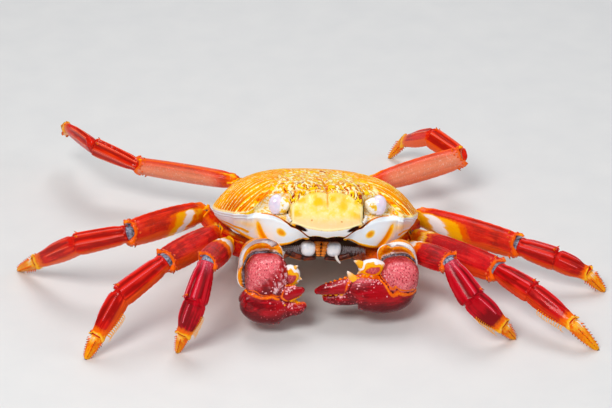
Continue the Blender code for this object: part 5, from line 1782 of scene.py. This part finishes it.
def make_mouth_plate(side, name):
    """The folded outer mouth plate with its fringe and a small pale end piece."""
    spots = np.linspace(0.0, 4.0, 60)
    path, size = spline(MOUTH_PLATE_PATH, spots), spline(MOUTH_PLATE_SIZES, spots)
    joint = np.minimum(np.abs(spots - 1.4), np.abs(spots - 2.7))
    size = size * (1.0 + 0.12 * hump(joint, 0.25, 0.12) - 0.16 * hump(joint, 0.0, 0.07))[:, None]
    ends = np.minimum(1.0, np.minimum(spots, 4.0 - spots) / 0.3)
    size = size * np.sqrt(1.0 - (1.0 - ends) ** 2 + 0.02)[:, None]
    grid = tube(mouth_place(side, path), BODY_UP, size[:, 0], size[:, 1], 36, 1.0)
    turn = turns(36)
    # Painted shade in the folds between the plate's segments.
    masks = {"place": grid, "painted_shade": hump(joint, 0.0, 0.1)[:, None],
             "gold": 0.9 * rise(-np.cos(turn), 0.5, 0.9)[None, :] * hump(spots, 1.6, 1.8)[:, None]}
    form = Form(grid, masks)
    draw = random.Random(31)
    roots = [grid[draw.randrange(8, 50), draw.choice((0, 1, 2, 34, 35))] for _ in range(170)]
    bristles(form, roots, TURN @ (-0.3 * side, -0.35, 0.9), 1.3, 0.12, 32, {"hair": 1.0})
    row = np.linspace(0.0, 1.0, 240)
    rows = [(8.2 + 8.8 * x, -29.2 + 1.6 * x, -9.7 - 1.0 * x + 0.3 * math.sin(70 * x)) for x in row]
    roots = mouth_place(side, rows)
    bristles(form, roots[::2], TURN @ (0.0, -0.45, -0.9), 2.0, 0.11, 33, {"hair": 1.0}, 0.4)
    bristles(form, roots[1::2], TURN @ (0.0, -0.35, -0.9), 2.4, 0.12, 34, {"hair": 0.45}, 0.5)
    hook = standing(MOUTH_HOOKS[name])
    path = spline(hook, np.linspace(0.0, 2.0, 16))
    size = np.linspace(1.9, 0.5, 16)
    form.rings(tube(path, (0, 0, 1), size, 0.7 * size, 16, 1.0), {"pale": 0.95})
    form.dress("mouth_plate_" + name, MOUTH_FINISH, "mouth_plate")


def make_feelers():
    """The orange feelers between the jaws and the short ones beside the front plate."""
    form = Form()
    for side in (1, -1):
        points = mouth_place(side, FEELER_PATH)
        path = spline(points, np.linspace(0.0, 3.0, 36))
        beads = 1.0 + 0.18 * np.cos(np.linspace(0.0, 10.0 * math.pi, 36))
        size = np.linspace(2.6, 1.5, 36) * beads
        form.rings(tube(path, (0, 1, 0), size, size, 18, 1.0), {"gold": 0.8, "place": path[:, None, :]})
        roots = np.repeat(path[4:30], 3, axis=0)
        bristles(form, roots, TURN @ (0.2 * side, -0.8, -0.3), 0.9, 0.1, 40, {"hair": 0.8})
        base = standing(mirrored(SHORT_FEELER_PATH, side))
        path = spline(base, np.linspace(0.0, 2.0, 24))
        size = 1.5 + 0.35 * np.cos(np.linspace(0.0, 4.0 * math.pi, 24))
        form.rings(tube(path, (0, 0, 1), size, 0.8 * size, 18, 1.0), {"pale": 0.9, "place": path[:, None, :]})
    form.piece("feelers_dressed", MOUTH_FINISH, "mouth_plate")


for side, name in SIDES:
    make_jaw(side, name)
    make_mouth_plate(side, name)
make_feelers()
print("mouth made")

# %% [markdown]
# ## Chest and tail flap
# The underside is rarely seen, but the model is turned in the hand. The chest is a smooth
# shield cut by cross grooves between the limbs, with the round limb stubs at its border, and
# the narrow tail flap of seven segments is folded forward along its middle.

# %% Underside
CHEST_OUTLINE = ((0.0, -25.0), (8.0, -24.4), (13.0, -20.0), (16.0, -13.0), (20.0, -5.0),
                 (23.0, 4.0), (21.5, 13.0), (15.5, 21.5), (9.0, 25.0), (0.0, 25.8))
CHEST_ROWS = ((0.0, 1.0), (3.6, 1.0), (6.4, 0.9), (8.6, 0.66))
CHEST_RISE = 0.14
CHEST_GAP = 0.34
FLAP_DEPTH = 1.4
FLAP_WIDTHS = (12.0, 13.0, 13.0, 12.5, 11.0, 9.0, 7.0, 4.0)
GROOVE_YS = (-15.5, -8.0, -0.5, 7.5, 15.5)
STUB_BREADTH, STUB_INNER_BREADTH, STUB_INNER_THICKNESS = 7.0, 3.8, 4.8


def chest_finish():
    """Cream shield with orange borders and brown grooves, and dark brown painted shade by the mouth, under
    the shell and at the limb roots.
    """
    finish = Finish("chest_finish", Coat_Roughness=0.12, Specular_IOR_Level=0.3)
    where, value = finish.place(), finish.value
    cloud = finish.mottle(where, 0.14, 4.0)
    fine = finish.mottle(where, 1.1, 3.0)
    colour = finish.mix(cloud.rise(0.4, 0.65), "f5ead6", "f0cfa6")
    colour = finish.over(
        colour,
        ((value("gold") + (fine - 0.5) * 0.5).rise(0.3, 0.8), "f0841c"),
        (value("stub") * (0.75 + fine * 0.4), "e2601c"),
        (value("groove") * 0.6, "9a5a34"),
        (value("painted_shade").rise(0.1, 0.9) * 0.92, "200c06"))
    normal = finish.bump(finish.grains(where, 1.8), 0.00008, 0.5)
    normal = finish.bump(fine, 0.00005, 0.6, normal)
    return finish.use(colour, 0.34 + fine * 0.2 + value("painted_shade") * 0.4, normal, 0.35 - value("painted_shade") * 0.3)


CHEST_FINISH = chest_finish()


def chest_grid():
    """The shield's rings, from its flat top down to the middle of its underside."""
    corners = np.array(CHEST_OUTLINE)
    half = spline(corners, np.linspace(0.0, len(corners) - 1.0, 110))
    outline = np.concatenate((half, half[-2:0:-1] * (-1.0, 1.0)))
    drops = np.array(CHEST_ROWS)
    last_drop, last_share = CHEST_ROWS[-1]
    rows = [(0.0, 0.02), (0.0, 0.5), (0.0, 0.98)]
    rows += spline(drops, np.linspace(0.0, len(drops) - 1.0, 50)).tolist()
    rows += [(last_drop + 0.9 * (last_share - share), share) for share in np.linspace(0.64, 0.02, 20)]
    rings = []
    for drop, share in rows:
        x, y = outline[:, 0] * share, 2.0 + (outline[:, 1] - 2.0) * share
        up = CHEST_RISE * np.maximum(0.0, outline[:, 1] + 5.0) * min(drop, last_drop) / last_drop
        rings.append(np.stack((x, y, BELLY_LEVEL - CHEST_GAP - drop + up), axis=-1))
    return np.array(rings)


def make_chest():
    """Shield, grooves and the ten limb stubs."""
    grid = chest_grid()
    x, y, z = (grid[..., k] for k in range(3))
    under = rise(BELLY_LEVEL - 1.0 - z, 0.0, 2.0)
    groove = highest(*(hump(y - 0.16 * np.abs(x), middle, 0.55) for middle in GROOVE_YS))
    groove = groove * under * rise(np.abs(x), 4.5, 6.5)
    # Painted shade: dark brown at the front under the mouth and along the top where the chest meets the
    # shell.
    painted_shade = np.maximum(rise(-y, 13.0, 19.0), 0.75 * rise(z, BELLY_LEVEL - 3.0, BELLY_LEVEL - 1.2))
    masks = {"groove": groove, "painted_shade": painted_shade, "place": grid,
             "gold": under * (0.8 * rise(np.abs(x) + 0.3 * y, 15.0, 21.0) + 0.5 * groove)}
    form = Form(raised(standing(grid), -0.55 * groove), masks)
    for side in (1, -1):
        for root in (CLAW_ROOT, *LEG_ROOTS):
            inner, joint, _ = stub_points(side, root)
            before = unit(joint - inner)
            reach = joint - 0.45 * STUB_BREADTH * before * (0.0 if root is CLAW_ROOT else 0.15)
            share = np.linspace(0.0, 1.0, 30)
            path = inner + share[:, None] * (reach - inner)
            swell = 1.0 + 0.07 * hump(share, 0.96, 0.05) - 0.06 * hump(share, 0.82, 0.07)
            breadth = (STUB_INNER_BREADTH + share * (STUB_BREADTH - STUB_INNER_BREADTH)) * swell
            thick = (STUB_INNER_THICKNESS + share * (STUB_BREADTH - STUB_INNER_THICKNESS)) * swell
            tubes = tube(path, BODY_UP, breadth, thick, 36, 1.1)
            # The inner end of each stub gets painted shade under the body.
            form.rings(tubes, {"stub": rise(share, 0.45, 0.7)[:, None], "place": tubes,
                               "painted_shade": 0.8 * fall(share, 0.8, 0.25)[:, None],
                               "gold": hump(share, 0.97, 0.06)[:, None]})
    form.dress("chest", CHEST_FINISH, "shell_pale")


def chest_middle(y, drop):
    """A point on the middle line of the chest's underside."""
    up = CHEST_RISE * max(0.0, y + 5.0) * drop / CHEST_ROWS[-1][0]
    return np.array((0.0, y, BELLY_LEVEL - CHEST_GAP - drop + up))


def make_flap():
    """The tail flap, a flat band with a groove between its segments."""
    rear = CHEST_OUTLINE[-1][1]
    first = chest_middle(rear, CHEST_ROWS[1][0]) + (0.0, 1.5, 0.0)
    second = chest_middle(rear, CHEST_ROWS[2][0]) + (0.0, 3.1 - rear + 0.9 * (rear - 2.0), -1.0)
    path = [first, second]
    last_drop, last_share = CHEST_ROWS[-1]
    for share in (0.94, 0.78, 0.6, 0.4, 0.2, 0.02):
        place = chest_middle(share * rear, last_drop)
        place[1] = 2.4 + (share * rear - 2.0) * last_share
        path.append(place - (0.0, 0.0, FLAP_DEPTH))
    spots = np.linspace(0.0, len(path) - 1.0, 150)
    path = spline(path, spots)
    width = spline(np.array(FLAP_WIDTHS)[:, None], spots)[:, 0]
    seam = np.abs(spots - np.round(spots))
    width = width * (1.0 - 0.05 * hump(seam, 0.0, 0.06))
    thick = 1.9 - 0.7 * hump(seam, 0.0, 0.06)
    grid = tube(standing(path), TURN @ (1.0, 0.0, 0.0), width, thick, 40, 0.7)
    form = Form()
    gold = 0.25 + 0.4 * hump(seam, 0.12, 0.06)
    form.rings(grid, {"groove": hump(seam, 0.0, 0.05)[:, None], "gold": gold[:, None], "place": grid})
    form.dress("abdomen", CHEST_FINISH, "shell_pale")


make_chest()
make_flap()
print("underside made")

# %% [markdown]
# ## Bristles on the front shins
# The shins of the two front legs on each side carry rows of stiff golden hairs on their lower
# edge. Hair curves would leave the model when it is exported, so each hair is a thin tube.

# %% Shin bristles
def shin_bristles(name, number):
    """Two rows of curved hairs below one shin."""
    hint, *joints = (np.array(place, float) for place in LEG_POSES[name])
    start, end = world(joints[1]), world(joints[2])
    scale, sizes = LEG_SCALES[number - 1], np.array(LEG_FORMS["shin"])
    along = unit(end - start)
    upper = unit(hint - (hint @ along) * along)
    across = np.cross(along, upper)
    roots = []
    for i, share in enumerate(np.linspace(0.3, 0.88, 22)):
        breadth, thick = (np.interp(share, sizes[:, 0], sizes[:, k]) * scale for k in (1, 2))
        tilt = 0.5 if i % 2 else -0.5
        out = -0.46 * breadth * math.cos(tilt) * upper + 0.4 * thick * math.sin(tilt) * across
        roots.append(start + share * (end - start) + out)
    form = Form()
    draw = random.Random(50 + number)
    for root in roots:
        reach = draw.uniform(2.6, 3.4) * unit(0.9 * along - 0.75 * upper + 0.2 * across)
        bend = 1.3 * unit(-0.9 * upper - 0.6 * along)
        spine(form, root, root + reach, 0.3, {"gold": 0.95, "crimson": 0.2}, 6, 12, bend)
    form.piece("bristles_" + name, LEG_FINISH, "leg_shell")


for name, number in (("left_1", 1), ("left_2", 2), ("right_1", 1), ("right_2", 2)):
    shin_bristles(name, number)
print("bristles made")

# %% [markdown]
# ## The end

# %% Finish
print("all pieces made")
